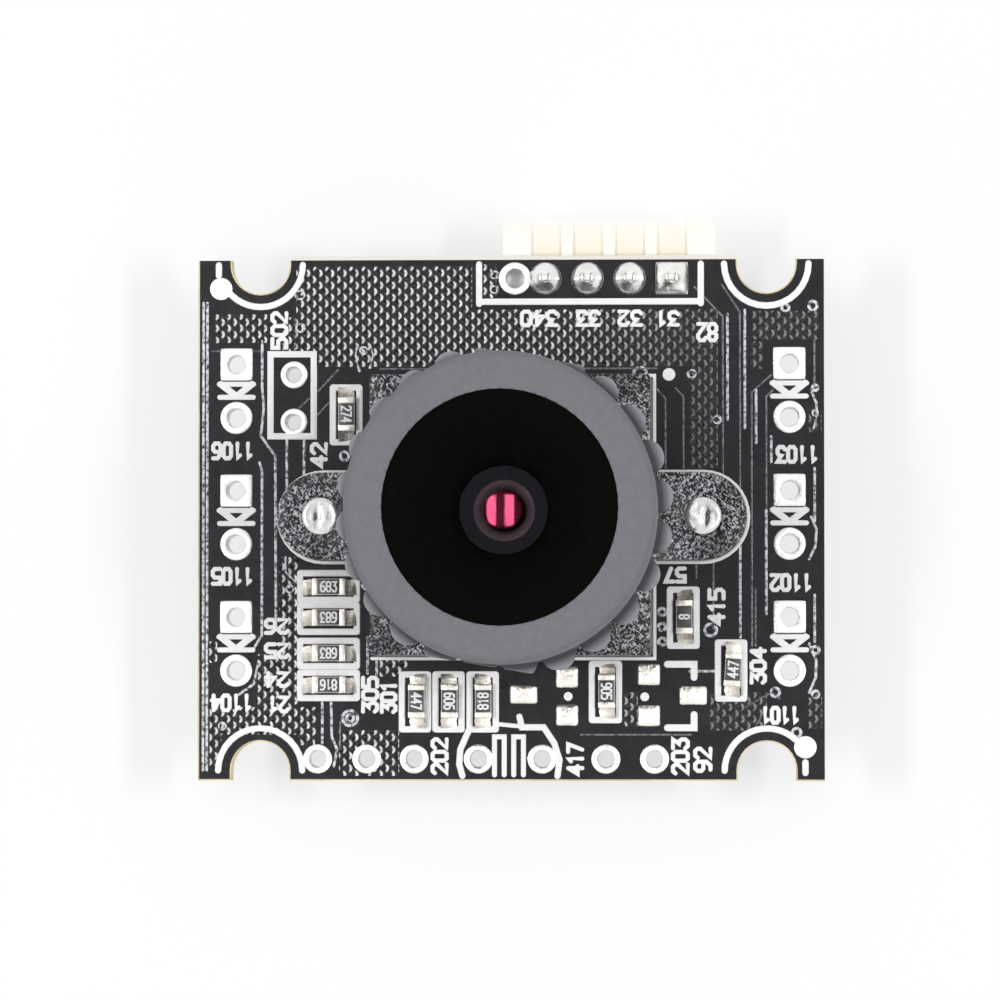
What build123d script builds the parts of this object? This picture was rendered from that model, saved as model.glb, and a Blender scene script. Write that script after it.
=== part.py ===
from build123d import *
import math
import os

# A bare camera board with a focusing lens, in millimetres.
# The origin is the centre of the corner notch pattern on the board's rear face.
# +Z is the lens axis, +X runs along the board's long side, +Y points to the side with the wire socket.

# Circuit board
board_width = 29.7
board_height = 24.7
board_thickness = 1.2
board_centre = (-0.12, -0.13)
board_left, board_right = board_centre[0] - board_width / 2, board_centre[0] + board_width / 2
board_bottom, board_top = board_centre[1] - board_height / 2, board_centre[1] + board_height / 2
notch_side_gap, notch_end_gap = 2.85, 0.35
notch_pitch_x, notch_pitch_y = board_width - 2 * notch_side_gap, board_height - 2 * notch_end_gap
notch_radius = 1.38
snapped_gap, snapped_depth = 0.07, 0.22
snapped_length = notch_pitch_x - 2 * (notch_radius + snapped_gap)
snapped_thickness = 0.5
foil = 0.05
snug = 0.01

# Plated holes: land width, hole diameter and places, from the board's edges
light_land, light_hole = 1.55, 0.85
light_left_gap, light_right_gap = 1.82, 1.65
light_columns = (board_left + light_left_gap, board_right - light_right_gap)
light_first_y, light_pitch, light_count = 7.27, 6.0, 3
light_lead_pitch = 2.54
switch_land, switch_hole, switch_ys = 1.3, 0.8, (6.77, 4.52)
row_land, row_hole = 1.4, 0.77
row_edge_gap = 1.03
row_y, row_xs = board_bottom + row_edge_gap, (-9.27, -6.94, -4.69, -1.65, 1.37, 4.39, 6.69)
socket_land, socket_hole = 1.56, 0.86
spare_hole_x = 0.09

# Surface pads
pad_height = 0.12
pad_slope = 30
wide_pad = (1.33, 0.9)
narrow_pad = (1.08, 1.02)
sight_mark = 1.1
sight_marks = ((board_left + 1.08, board_top - 1.35), (board_right - 0.92, board_bottom + 1.59))
# The strip between the lens holder and the bottom row of holes: x, and the share of free room above
wide_pad_places = ((0.5, 0.415), (8.52, 0.43))
narrow_pad_pairs = ((2.56, 0.353, 1.8), (6.43, 0.294, 1.94))

# Chip resistors and capacitors, all of one size
chip_length, chip_width, chip_height = 1.6, 0.8, 0.45
chip_end = 0.3
chip_coat = 0.04
solder_reach = 0.37
solder_rise = 0.3
# The switch holes and the first front resistor share the free room left of the lens holder
upper_left_y, upper_left_shares = 4.88, (0.358, 0.4)
# The other front resistors stand beside the lens holder, in the strip below it and near the corner
left_gap, left_ys = 0.95, (-3.3, -4.75, -6.44, -7.94)
strip_resistors = ((-4.56, 0.52), (-3.0, 0.52), (-1.4, 0.52), (4.43, 0.26))
right_gap, right_y = 1.1, -4.73
corner_gap, corner_y, corner_turn = 4.33, -7.22, 86
# Rear parts stand in rows, each after its share of the row's free room
regulator_row_y, regulator_row_shares = 5.6, (0.18, 0.23, 0.145, 0.145, 0.077)
rear_right_shares, rear_right_ys = (0.183, 0.574), ((-2.6, -5.6), (-4.4, -7.6))
rear_left_shares, rear_left_ys = (0.294, 0.471), (-3.4, -6.1, -8.8)
rear_bottom_xs, rear_bottom_share = (-6.2, -2.6, 0.8, 4.2), 0.454

# Wire socket on the rear side, mouth to the rear
socket_ways, socket_pitch = 4, 2.0
socket_centre_x, socket_edge_gap = 4.53, 0.9
socket_pin_y = board_top - socket_edge_gap
socket_width, socket_depth, socket_height = 10.1, 4.5, 6.0
socket_corner = 0.4
socket_front_wall = 1.55
socket_side_wall, socket_long_wall, socket_floor = 0.8, 0.6, 1.3
latch_slot_width, latch_slot_length, latch_slot_spread = 1.0, 3.4, 5.8
window_outer, window_inner = 1.31, 1.52
window_depth, window_length = 0.35, 2.4
pin_size = 0.5
pin_taper = 0.35
pin_below_mouth = 1.0
pin_stick_out = 1.0
dome_height = 0.75

# Lens holder, heights above the board's front face
base_width, base_height, base_corner = 13.2, 4.2, 0.2
base_draft = 0.8
ear_width, ear_thickness = 4.1, 2.0
screw_pitch = 18.0
neck_radius, neck_height = 6.6, 7.6
neck_edge = 0.3
thread_radius = 5.9
thread_play = 0.05
sensor_room_width, sensor_room_height = 10.0, 2.0
shelf_thickness, shelf_window = 0.6, 6.8

# Holder screws, from the rear
screw_radius, screw_play = 0.85, 0.02
screw_head_radius, screw_head_height, screw_head_edge = 1.5, 1.0, 0.3
screw_recess_width, screw_recess_length, screw_recess_depth = 0.45, 1.7, 0.55
screw_tip_edge = 0.2
screw_clear_radius = 1.05

# Lens barrel, heights above its own seat plane, the lower face of the scalloped ring
focus_gap = 0.6
lead_in = 0.35
relief_radius, relief_height = 5.55, 0.5
ring_root_radius, ring_height, ring_edge = 7.05, 2.2, 0.22
scallop_count, scallop_phase = 24, 5.5
scallop_radius, scallop_centre_radius = 0.78, 6.92
ring_flat_distance, ring_flat_angle = 7.11, 80.5
hood_radius, hood_height, hood_round = 7.0, 7.2, 0.4
mouth_radius, mouth_edge = 5.25, 0.12
cone_depth, aperture_radius, aperture_land = 4.0, 2.05, 0.2

# Filter and sensor
filter_width, filter_thickness = 8.2, 0.4
sensor_size = (5.6, 5.0)
ball_row_count, ball_column_count = 4, 5
ball_pitch, ball_radius, ball_height = 1.0, 0.2, 0.25
sensor_thickness, sensor_glass_thickness = 0.45, 0.4
sensor_glass_margin = 0.15

# The barrel ends this far above the filter, and its retaining ring sits this far inside it
barrel_gap, clamp_inset = 0.7, 0.86
shelf_top = sensor_room_height + shelf_thickness
barrel_below = neck_height + focus_gap - shelf_top - filter_thickness - barrel_gap

# Pieces inside the barrel, from the front to the rear; thickness is at the rim, as a share of the stack
glass_play = 0.03
seat_play = 0.02
stack_height = hood_height - cone_depth - aperture_land + barrel_below - clamp_inset - 2 * seat_play
front_glass_radius, front_glass_bulge, front_glass_hollow = 3.2, 0.15, 0.1
front_glass_rim = 0.227 * stack_height
stop_opening, stop_thickness = 1.35, 0.167 * stack_height
middle_glass_hollow, middle_glass_rim = 0.3, 0.212 * stack_height
spacer_opening, spacer_thickness = 2.6, 0.091 * stack_height
rear_glass_radius, rear_glass_bulge = 3.8, 0.35
rear_glass_rim = 0.212 * stack_height
clamp_ring_opening, clamp_ring_thickness = 2.9, 0.091 * stack_height
clamp_notch_width, clamp_notch_depth = 0.6, 0.3

# Chips on the rear side
lead_thickness, lead_stand = 0.15, 0.1
mould_slope = 7
controller_centre, controller_body, controller_thickness = (0.8, -2.6), 7.0, 1.4
controller_lead_count, controller_lead_pitch = 12, 0.5
controller_lead_width, controller_lead_reach = 0.22, 1.0
memory_centre, memory_body, memory_thickness = (-4.2, 6.4), (4.9, 3.9), 1.45
memory_lead_count, memory_lead_pitch = 4, 1.27
memory_lead_width, memory_lead_reach = 0.42, 1.05
regulator_body, regulator_thickness = (2.9, 1.6), 1.1
regulator_front_count, regulator_back_count = 3, 2
regulator_lead_pitch, regulator_lead_width, regulator_lead_reach = 0.95, 0.4, 0.6
crystal_y, crystal_size, crystal_lid = -4.6, (3.2, 2.5), (2.8, 2.1)
crystal_base_height, crystal_lid_height = 0.55, 0.2
dot_radius, dot_depth = 0.3, 0.08

# Sides of a chip body, as the turn in degrees that brings a lead along X there
right_side, top_side, left_side, bottom_side = 0, 90, 180, 270

board_front = board_thickness
lens_seat = board_front + neck_height + focus_gap
holder_bore = thread_radius + thread_play


def group(pieces):
    """One node of several separate solids."""
    return Compound(children=[solid for piece in pieces for solid in piece.solids()])


def turned(outline):
    """A solid of revolution about Z from a closed outline of radius and height."""
    return revolve(Plane.XZ * make_face(Polyline(*outline, close=True)), Axis.Z)


def on_front(x, y, angle=0):
    return Pos(x, y, board_front) * Rot(0, 0, angle)


def on_rear(x, y, angle=0):
    return Pos(x, y, 0) * Rot(180, 0, angle)


def spread(count, pitch):
    """Evenly spaced places about zero."""
    return [(k - (count - 1) / 2) * pitch for k in range(count)]


def in_row(start, end, sizes, shares):
    """Centres of pieces in a row between two limits, each after its share of the free room."""
    free, place, centres = end - start - sum(sizes), start, []
    for size, share in zip(sizes, shares):
        place += share * free + size
        centres.append(place - size / 2)
    return centres


def light_edges():
    """Inner edges of the two columns of light lands."""
    return light_columns[0] + light_land / 2, light_columns[1] - light_land / 2


def upper_left_xs():
    """X of the switch holes and of the resistor beside them."""
    return in_row(light_edges()[0], -base_width / 2, (switch_land, chip_width), upper_left_shares)


def socket_pin_xs():
    return [socket_centre_x + offset for offset in spread(socket_ways, socket_pitch)]


def light_places():
    """Place of each light hole and whether its land is square."""
    for x in light_columns:
        for k in range(light_count):
            y = light_first_y - k * light_pitch
            yield x, y, True
            yield x, y - light_lead_pitch, False


def hole_places():
    """Every plated hole: x, y, land width, hole diameter, square land or not."""
    places = [(x, y, light_land, light_hole, square) for x, y, square in light_places()]
    places += [(upper_left_xs()[0], y, switch_land, switch_hole, False) for y in switch_ys]
    places += [(x, row_y, row_land, row_hole, False) for x in row_xs]
    last = max(socket_pin_xs())
    places += [(x, socket_pin_y, socket_land, socket_hole, x == last) for x in socket_pin_xs()]
    places.append((spare_hole_x, socket_pin_y, socket_land, socket_hole, False))
    return places


def circuit_board():
    """Plate with four U-shaped corner notches, all holes and the snapped ridge along its top edge."""
    plate = Pos(*board_centre) * Rectangle(board_width, board_height)
    for side in (-1, 1):
        x = side * notch_pitch_x / 2
        for y, edge in ((notch_pitch_y / 2, board_top), (-notch_pitch_y / 2, board_bottom)):
            plate -= Pos(x, y) * Circle(notch_radius)
            plate -= Pos(x, (y + edge) / 2) * Rectangle(2 * notch_radius, abs(edge - y))
        plate -= Pos(side * screw_pitch / 2, 0) * Circle(screw_clear_radius)
    for x, y, _, hole, _ in hole_places():
        plate -= Pos(x, y) * Circle(hole / 2 + foil + snug)
    board = extrude(plate, board_thickness)
    low = (board_thickness - snapped_thickness) / 2
    outline = [(board_top, 0), (board_top + snapped_depth, low),
               (board_top + snapped_depth, low + snapped_thickness), (board_top, board_thickness)]
    ridge = extrude(Plane.YZ * make_face(Polyline(*outline, close=True)), snapped_length / 2, both=True)
    return board + ridge


def plated_hole(x, y, land, hole, square):
    """One eyelet: a land on each face, joined by the plated wall."""
    opening = Circle(hole / 2)
    front_land = Rectangle(land, land) if square else Circle(land / 2)
    wall = extrude(Circle(hole / 2 + foil) - opening, board_thickness)
    front = Pos(0, 0, board_thickness) * extrude(front_land - opening, foil)
    rear = Pos(0, 0, -foil) * extrude(Circle(land / 2) - opening, foil)
    return Pos(x, y) * (front + wall + rear)


def plated_holes():
    return group([plated_hole(*place) for place in hole_places()])


def strip_y(height, share):
    """Centre of a piece in the strip below the lens holder, with that share of the free room above it."""
    holder_edge, row_edge = -base_width / 2, row_y + row_land / 2
    return holder_edge - share * (holder_edge - row_edge - height) - height / 2


def pad_places():
    """Size and place of every tinned pad of the two empty three-pad places."""
    places = [(wide_pad, x, strip_y(wide_pad[1], share)) for x, share in wide_pad_places]
    for x, share, pitch in narrow_pad_pairs:
        middle = strip_y(narrow_pad[1] + pitch, share)
        places += [(narrow_pad, x, middle + pitch / 2), (narrow_pad, x, middle - pitch / 2)]
    return places


def front_resistor_places():
    """Place and turn of each resistor on the front face."""
    half, span = base_width / 2, chip_length + 2 * solder_reach
    places = [(upper_left_xs()[1], upper_left_y, 90)]
    places += [(-half - left_gap - span / 2, y, 0) for y in left_ys]
    places += [(x, strip_y(span, share), 90) for x, share in strip_resistors]
    places.append((half + right_gap + chip_width / 2, right_y, 90))
    places.append((board_right - corner_gap, corner_y, corner_turn))
    return places


def surface_pads():
    """Tinned pads of the two empty three-pad places, and the two round sighting marks."""
    pads = [on_front(x, y) * extrude(Rectangle(*size), pad_height, taper=pad_slope)
            for size, x, y in pad_places()]
    for x, y in sight_marks:
        pads.append(on_front(x, y) * extrude(Circle(sight_mark / 2), foil))
    return group(pads)


def regulator_row():
    """X of each capacitor and regulator in the row right of the memory chip."""
    regulator = regulator_body[0]
    sizes = (chip_width, regulator, chip_width, regulator, chip_width)
    start = memory_centre[0] + memory_body[0] / 2
    return in_row(start, light_edges()[1], sizes, regulator_row_shares)


def controller_tip():
    """Distance of the controller's lead tips from its centre."""
    return controller_body / 2 + snug + controller_lead_reach


def rear_left_xs():
    """X of the rear resistors and of the crystal, left of the controller."""
    end = controller_centre[0] - controller_tip()
    return in_row(light_edges()[0], end, (chip_width, crystal_size[0]), rear_left_shares)


def rear_right_xs():
    """X of the two columns of small parts right of the controller."""
    start = controller_centre[0] + controller_tip()
    return in_row(start, light_edges()[1], (chip_width, chip_width), rear_right_shares)


def rear_capacitor_places():
    """Place and turn of each capacitor on the rear face."""
    near, far = rear_right_xs()
    places = [(x, regulator_row_y, 90) for x in regulator_row()[0::2]]
    places += [(near, y, 90) for y in rear_right_ys[0]] + [(far, rear_right_ys[1][0], 90)]
    room = (row_y + row_land / 2, controller_centre[1] - controller_tip())
    bottom_y = in_row(*room, (chip_width,), (1 - rear_bottom_share,))[0]
    return places + [(x, bottom_y, 0) for x in rear_bottom_xs]


def rear_resistor_places():
    """Place and turn of each resistor on the rear face."""
    places = [(rear_left_xs()[0], y, 90) for y in rear_left_ys]
    return places + [(rear_right_xs()[1], rear_right_ys[1][1], 90)]


def chip(coated=True):
    """A chip part lying along X on its solder: block, two end caps and a coat between them."""
    low = foil
    cap = Box(chip_end, chip_width, chip_height, align=(Align.CENTER, Align.CENTER, Align.MIN))
    inner_width, inner_height = chip_width - chip_coat, chip_height - 2 * chip_coat
    block = Pos(0, 0, low + chip_coat) * Box(
        chip_length - chip_end, inner_width, inner_height, align=(Align.CENTER, Align.CENTER, Align.MIN))
    for side in (-1, 1):
        block += Pos(side * (chip_length - chip_end) / 2, 0, low) * cap
    if coated:
        coat = Box(chip_length - 2 * chip_end, inner_width - chip_coat, chip_coat,
                   align=(Align.CENTER, Align.CENTER, Align.MIN))
        block += Pos(0, 0, low + chip_coat + inner_height) * coat
    return block


def chip_solder():
    """Solder of one chip part: a thin layer under each end and a hollow fillet outside it."""
    end = chip_length / 2
    arc_middle = (end + solder_reach * 0.3, foil + solder_rise * 0.3)
    outline = Polyline((end, foil + solder_rise), (end, foil), (end - chip_end, foil), (end - chip_end, 0),
                       (end + solder_reach, 0), (end + solder_reach, foil))
    hollow = ThreePointArc((end + solder_reach, foil), arc_middle, (end, foil + solder_rise))
    side = extrude(Plane.XZ * make_face(outline + hollow), chip_width / 2, both=True)
    return [side, Rot(0, 0, 180) * side]


def rear_chip_solders():
    return group([on_rear(*place) * piece for place in rear_capacitor_places() + rear_resistor_places()
                  for piece in chip_solder()])


def socket_housing():
    """Four-way housing: shell open to the rear, latch slots, pin holes and tapered windows in its foot."""
    front_edge = socket_pin_y + socket_depth - socket_front_wall
    middle_y = front_edge - socket_depth / 2
    shell = extrude(RectangleRounded(socket_width, socket_depth, socket_corner), -socket_height)
    room = Rectangle(socket_width - 2 * socket_side_wall, socket_depth - 2 * socket_long_wall)
    shell -= Pos(0, 0, -socket_floor) * extrude(room, -(socket_height - socket_floor))
    for x in spread(2, latch_slot_spread):
        slot = Box(latch_slot_width, 2 * socket_long_wall, latch_slot_length)
        shell -= Pos(x, -socket_depth / 2, latch_slot_length / 2 - socket_height) * slot
    shell = Pos(socket_centre_x, middle_y, -foil) * shell
    hole = Box(pin_size + 2 * snug, pin_size + 2 * snug, 4 * socket_height)
    for x in socket_pin_xs():
        shell -= Pos(x, socket_pin_y, 0) * hole
        shell -= socket_window(x, front_edge)
    return shell


def socket_window(x, front_edge):
    """Tapered recess in the foot: shallow at the outer edge, deeper and wider towards the pin."""
    outer, inner = Rectangle(window_outer, 2 * snug), Rectangle(window_inner, 2 * window_depth)
    shallow = Plane.XZ.offset(-front_edge) * Pos(x, -foil) * outer
    deep = Plane.XZ.offset(window_length - front_edge) * Pos(x, -foil) * inner
    return loft([shallow, deep])


def socket_pin(x):
    """Square pin with a tapered end in the socket's mouth and another above the board."""
    low = pin_below_mouth - socket_height - foil
    high = board_front + pin_stick_out
    square = Rectangle(pin_size, pin_size)
    shank = Pos(0, 0, low + pin_taper) * extrude(square, high - low - 2 * pin_taper)
    tip = Rectangle(pin_size / 2, pin_size / 2)
    for flat, pointed in ((low + pin_taper, low), (high - pin_taper, high)):
        shank += loft([Pos(0, 0, flat) * square, Pos(0, 0, pointed) * tip])
    return Pos(x, socket_pin_y, 0) * shank


def solder_joints():
    """Bell-shaped solder round each pin end, on the front lands."""
    foot, top = socket_land / 2 - 2 * foil, pin_size / 2 * math.sqrt(2) + foil
    low, high = board_front + foil, board_front + foil + dome_height
    swell = ((foot + top) / 2 + 2 * foil, (low + high) / 2 + 2 * foil)
    bell = ThreePointArc((foot, low), swell, (top, high))
    outline = Polyline((top, high), (0, high), (0, low), (foot, low)) + bell
    dome = revolve(Plane.XZ * make_face(outline), Axis.Z)
    dome -= Box(pin_size + 2 * snug, pin_size + 2 * snug, 4 * high)
    return group([Pos(x, socket_pin_y, 0) * dome for x in socket_pin_xs()])


def lens_holder():
    """One moulding: drafted square base, round-ended ears and threaded neck, open for sensor and lens."""
    base = extrude(RectangleRounded(base_width, base_width, base_corner), base_height, taper=base_draft)
    ears = extrude(SlotCenterToCenter(screw_pitch, ear_width), ear_thickness)
    neck_outline = [(0, 0), (neck_radius, 0), (neck_radius, neck_height - neck_edge),
                    (neck_radius - neck_edge, neck_height), (0, neck_height)]
    body = base + ears + turned(neck_outline)
    bore_outline = [(0, shelf_top), (holder_bore, shelf_top), (holder_bore, neck_height - neck_edge),
                    (holder_bore + neck_edge, neck_height), (0, neck_height)]
    body -= turned(bore_outline)
    body -= extrude(Rectangle(shelf_window, shelf_window), shelf_top)
    body -= extrude(RectangleRounded(sensor_room_width, sensor_room_width, base_corner), sensor_room_height)
    for side in (-1, 1):
        hole = Cylinder(screw_radius + screw_play, 2 * ear_thickness)
        body -= Pos(side * screw_pitch / 2, 0, ear_thickness / 2) * hole
    return Pos(0, 0, board_front) * body


def holder_screw(side):
    """Pan-head screw from the rear, its cut end level with the ear's top."""
    end = board_front + ear_thickness
    outline = [(0, -screw_head_height), (screw_head_radius - screw_head_edge, -screw_head_height),
               (screw_head_radius, screw_head_edge - screw_head_height), (screw_head_radius, 0),
               (screw_radius, 0), (screw_radius, end - screw_tip_edge),
               (screw_radius - screw_tip_edge, end), (0, end)]
    screw = turned(outline)
    for angle in (0, 90):
        slot = Box(screw_recess_length, screw_recess_width, 2 * screw_recess_depth)
        screw -= Pos(0, 0, -screw_head_height) * Rot(0, 0, angle + 45) * slot
    return Pos(side * screw_pitch / 2, 0, 0) * screw


def lens_layout():
    """Heights of the stacked pieces inside the barrel, from the shoulder down."""
    shoulder = lens_seat + hood_height - cone_depth - aperture_land
    front_glass_low = shoulder - seat_play - front_glass_rim
    stop_low = front_glass_low - stop_thickness
    middle_low = stop_low - middle_glass_rim
    spacer_low = middle_low - spacer_thickness
    rear_low = spacer_low - rear_glass_rim
    clamp_low = rear_low - seat_play - clamp_ring_thickness
    return {"shoulder": shoulder, "front": front_glass_low, "stop": stop_low, "middle": middle_low,
            "spacer": spacer_low, "rear": rear_low, "clamp": clamp_low}


def broken_disc(radius, height, edge):
    """A disc standing on Z zero with both edges chamfered."""
    return turned([(0, 0), (radius - edge, 0), (radius, edge), (radius, height - edge),
                   (radius - edge, height), (0, height)])


def scalloped_ring():
    """Grip ring: half-round bumps all round with broken edges, cut by two opposite flats."""
    ring = broken_disc(ring_root_radius, ring_height, ring_edge)
    bump = Pos(scallop_centre_radius, 0, 0) * broken_disc(scallop_radius, ring_height, ring_edge)
    ring += [Rot(0, 0, scallop_phase + k * 360 / scallop_count) * bump for k in range(scallop_count)]
    band = Box(2 * ring_flat_distance, 4 * ring_root_radius, 4 * ring_height)
    ring &= Rot(0, 0, ring_flat_angle) * band
    return ring - Cylinder(relief_radius, 4 * ring_height)


def lens_barrel():
    """Threaded body, relief, scalloped ring and hood in one moulding, stepped inside for the glasses."""
    heights = lens_layout()
    front = lens_seat + hood_height
    rear = lens_seat - barrel_below
    cone_end = front - cone_depth
    upper_bore, lower_bore = front_glass_radius + glass_play, rear_glass_radius + glass_play
    step = heights["middle"]
    rim_start, rim_end = (hood_radius, front - hood_round), (hood_radius - hood_round, front)
    lean = hood_round * (1 - math.sqrt(0.5))
    rim = ThreePointArc(rim_start, (hood_radius - lean, front - lean), rim_end)
    outline = Polyline(
        rim_end, (mouth_radius + mouth_edge, front), (mouth_radius, front - mouth_edge),
        (aperture_radius, cone_end), (aperture_radius, heights["shoulder"]),
        (upper_bore, heights["shoulder"]), (upper_bore, step), (lower_bore, step), (lower_bore, rear),
        (thread_radius - lead_in, rear), (thread_radius, rear + lead_in),
        (thread_radius, lens_seat - relief_height), (relief_radius, lens_seat - relief_height),
        (relief_radius, lens_seat + ring_edge), (ring_root_radius - ring_edge, lens_seat + ring_edge),
        (hood_radius, lens_seat + ring_height), rim_start)
    body = revolve(Plane.XZ * make_face(outline + rim), Axis.Z)
    return body + Pos(0, 0, lens_seat) * scalloped_ring()


def dome(radius, foot, rise):
    """Arc of a sphere centred on the axis, from the axis at foot plus rise to the radius at foot."""
    sphere = (radius ** 2 + rise ** 2) / (2 * rise)
    half_angle = math.asin(radius / sphere) / 2
    middle = (abs(sphere * math.sin(half_angle)), foot + rise - sphere * (1 - math.cos(half_angle)))
    return ThreePointArc((0, foot + rise), middle, (radius, foot))


def lens_glass(radius, clear, low, rim, top_rise, bottom_rise):
    """A round glass with a flat flange outside its clear radius; a negative rise is a hollow."""
    high = low + rim
    top, bottom = dome(clear, high, top_rise), dome(clear, low, -bottom_rise)
    flange = Polyline((clear, high), (radius, high), (radius, low), (clear, low))
    middle = Line((0, low - bottom_rise), (0, high + top_rise))
    return revolve(Plane.XZ * make_face(top + flange + bottom + middle), Axis.Z)


def flat_ring(radius, opening, low, thickness):
    return turned([(opening, low), (radius, low), (radius, low + thickness), (opening, low + thickness)])


def clamp_ring():
    """Threaded ring that holds the glasses from the rear, with two key notches."""
    low = lens_layout()["clamp"]
    ring = flat_ring(rear_glass_radius, clamp_ring_opening, low, clamp_ring_thickness)
    key = Box(4 * rear_glass_radius, clamp_notch_width, 2 * clamp_notch_depth)
    return ring - Pos(0, 0, low) * key


def plate_on(size, low, thickness):
    return Pos(0, 0, low) * extrude(Rectangle(*size), thickness)


def sensor_balls():
    """Solder balls that carry the sensor, as short pillars."""
    ball = extrude(Circle(ball_radius), ball_height)
    return group([on_front(x, y) * ball for x in spread(ball_column_count, ball_pitch)
                  for y in spread(ball_row_count, ball_pitch)])


def moulded_body(size, thickness, stand):
    """Chip body standing on Z: two drafted halves and a round mark recess on top."""
    half = extrude(Rectangle(*size), thickness / 2, taper=mould_slope)
    body = Pos(0, 0, stand + thickness / 2) * (half + Rot(180, 0, 0) * half)
    corner = (dot_radius * 3 - size[0] / 2, size[1] / 2 - dot_radius * 3)
    return body - Pos(*corner, stand + thickness) * Cylinder(dot_radius, 2 * dot_depth)


def gull_lead(width, reach, shoulder_height):
    """Bent lead that leaves a chip body at X zero, drops to the board and ends in a foot."""
    knee, foot = reach * 0.25, reach * 0.55
    t = lead_thickness
    outline = [(0, shoulder_height), (knee, shoulder_height), (foot - t / 2, 0), (reach, 0), (reach, t),
               (foot + t / 2, t), (knee + t, shoulder_height + t), (0, shoulder_height + t)]
    return extrude(Plane.XZ * make_face(Polyline(*outline, close=True)), width / 2, both=True)


def side_leads(size, thickness, count, pitch, width, reach, sides):
    """Leads along the named sides of a chip body, each starting at the body's widest line."""
    lead = gull_lead(width, reach, lead_stand + thickness / 2 - lead_thickness / 2)
    leads = []
    for side in sides:
        half = size[0] / 2 if side in (left_side, right_side) else size[1] / 2
        leads += [Rot(0, 0, side) * Pos(half + snug, offset, 0) * lead for offset in spread(count, pitch)]
    return leads


def controller_parts():
    size = (controller_body, controller_body)
    body = moulded_body(size, controller_thickness, lead_stand)
    leads = side_leads(size, controller_thickness, controller_lead_count, controller_lead_pitch,
                       controller_lead_width, controller_lead_reach,
                       (right_side, top_side, left_side, bottom_side))
    place = on_rear(*controller_centre)
    return place * body, group([place * lead for lead in leads])


def memory_parts():
    body = moulded_body(memory_body, memory_thickness, lead_stand)
    leads = side_leads(memory_body, memory_thickness, memory_lead_count, memory_lead_pitch,
                       memory_lead_width, memory_lead_reach, (top_side, bottom_side))
    place = on_rear(*memory_centre)
    return place * body, group([place * lead for lead in leads])


def regulator_parts(centre):
    """Small five-lead regulator: three leads on one side, the outer two on the other."""
    body = moulded_body(regulator_body, regulator_thickness, lead_stand)
    leads = []
    for side, count in ((top_side, regulator_front_count), (bottom_side, regulator_back_count)):
        pitch = regulator_lead_pitch * (regulator_front_count - 1) / (count - 1)
        leads += side_leads(regulator_body, regulator_thickness, count, pitch, regulator_lead_width,
                            regulator_lead_reach, (side,))
    place = on_rear(*centre)
    return place * body, [place * lead for lead in leads]


def crystal():
    """Quartz crystal can: ceramic base with a smaller metal lid."""
    can = extrude(Rectangle(*crystal_size), crystal_base_height)
    can += Pos(0, 0, crystal_base_height) * extrude(Rectangle(*crystal_lid), crystal_lid_height)
    return on_rear(rear_left_xs()[1], crystal_y) * can


def build_nodes():
    """Every node of the module by name."""
    heights = lens_layout()
    sensor_low = board_front + ball_height
    resistor_places = front_resistor_places()
    glass_size = tuple(side - 2 * sensor_glass_margin for side in sensor_size)
    nodes = {
        "circuit_board": circuit_board(),
        "plated_holes": plated_holes(),
        "surface_pads": surface_pads(),
        "socket_housing": socket_housing(),
        "solder_joints": solder_joints(),
        "lens_holder": lens_holder(),
        "holder_screw_left": holder_screw(-1),
        "holder_screw_right": holder_screw(1),
        "lens_barrel": lens_barrel(),
        "front_glass": lens_glass(front_glass_radius, aperture_radius - glass_play, heights["front"],
                                  front_glass_rim, front_glass_bulge, -front_glass_hollow),
        "aperture_ring": flat_ring(front_glass_radius, stop_opening, heights["stop"], stop_thickness),
        "middle_glass": lens_glass(front_glass_radius, spacer_opening, heights["middle"], middle_glass_rim,
                                   -middle_glass_hollow, -middle_glass_hollow),
        "glass_spacer": flat_ring(rear_glass_radius, spacer_opening, heights["spacer"], spacer_thickness),
        "rear_glass": lens_glass(rear_glass_radius, spacer_opening, heights["rear"], rear_glass_rim,
                                 rear_glass_bulge, rear_glass_bulge),
        "clamp_ring": clamp_ring(),
        "filter_plate": plate_on((filter_width, filter_width), board_front + shelf_top, filter_thickness),
        "image_sensor": plate_on(sensor_size, sensor_low, sensor_thickness),
        "sensor_glass": plate_on(glass_size, sensor_low + sensor_thickness, sensor_glass_thickness),
        "sensor_balls": sensor_balls(),
        "crystal": crystal(),
        "rear_capacitors": group([on_rear(*place) * chip(False) for place in rear_capacitor_places()]),
        "rear_resistors": group([on_rear(*place) * chip() for place in rear_resistor_places()]),
        "rear_chip_solder": rear_chip_solders(),
        "front_chip_solder": group([on_front(*place) * piece for place in resistor_places
                                    for piece in chip_solder()]),
    }
    for number, place in enumerate(resistor_places, 1):
        nodes[f"chip_resistor_{number}"] = on_front(*place) * chip()
    for number, x in enumerate(socket_pin_xs(), 1):
        nodes[f"socket_pin_{number}"] = socket_pin(x)
    nodes["controller_chip"], nodes["controller_leads"] = controller_parts()
    nodes["memory_chip"], nodes["memory_leads"] = memory_parts()
    regulator_leads = []
    for number, x in enumerate(regulator_row()[1::2], 1):
        nodes[f"regulator_{number}"], leads = regulator_parts((x, regulator_row_y))
        regulator_leads += leads
    nodes["regulator_leads"] = group(regulator_leads)
    return nodes


os.makedirs("parts", exist_ok=True)
for name, node in build_nodes().items():
    export_step(node, f"parts/{name}.step")
    print(name, len(node.solids()), round(node.volume, 3))
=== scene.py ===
import math

import bmesh
import bpy
from mathutils import Matrix, Vector


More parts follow.
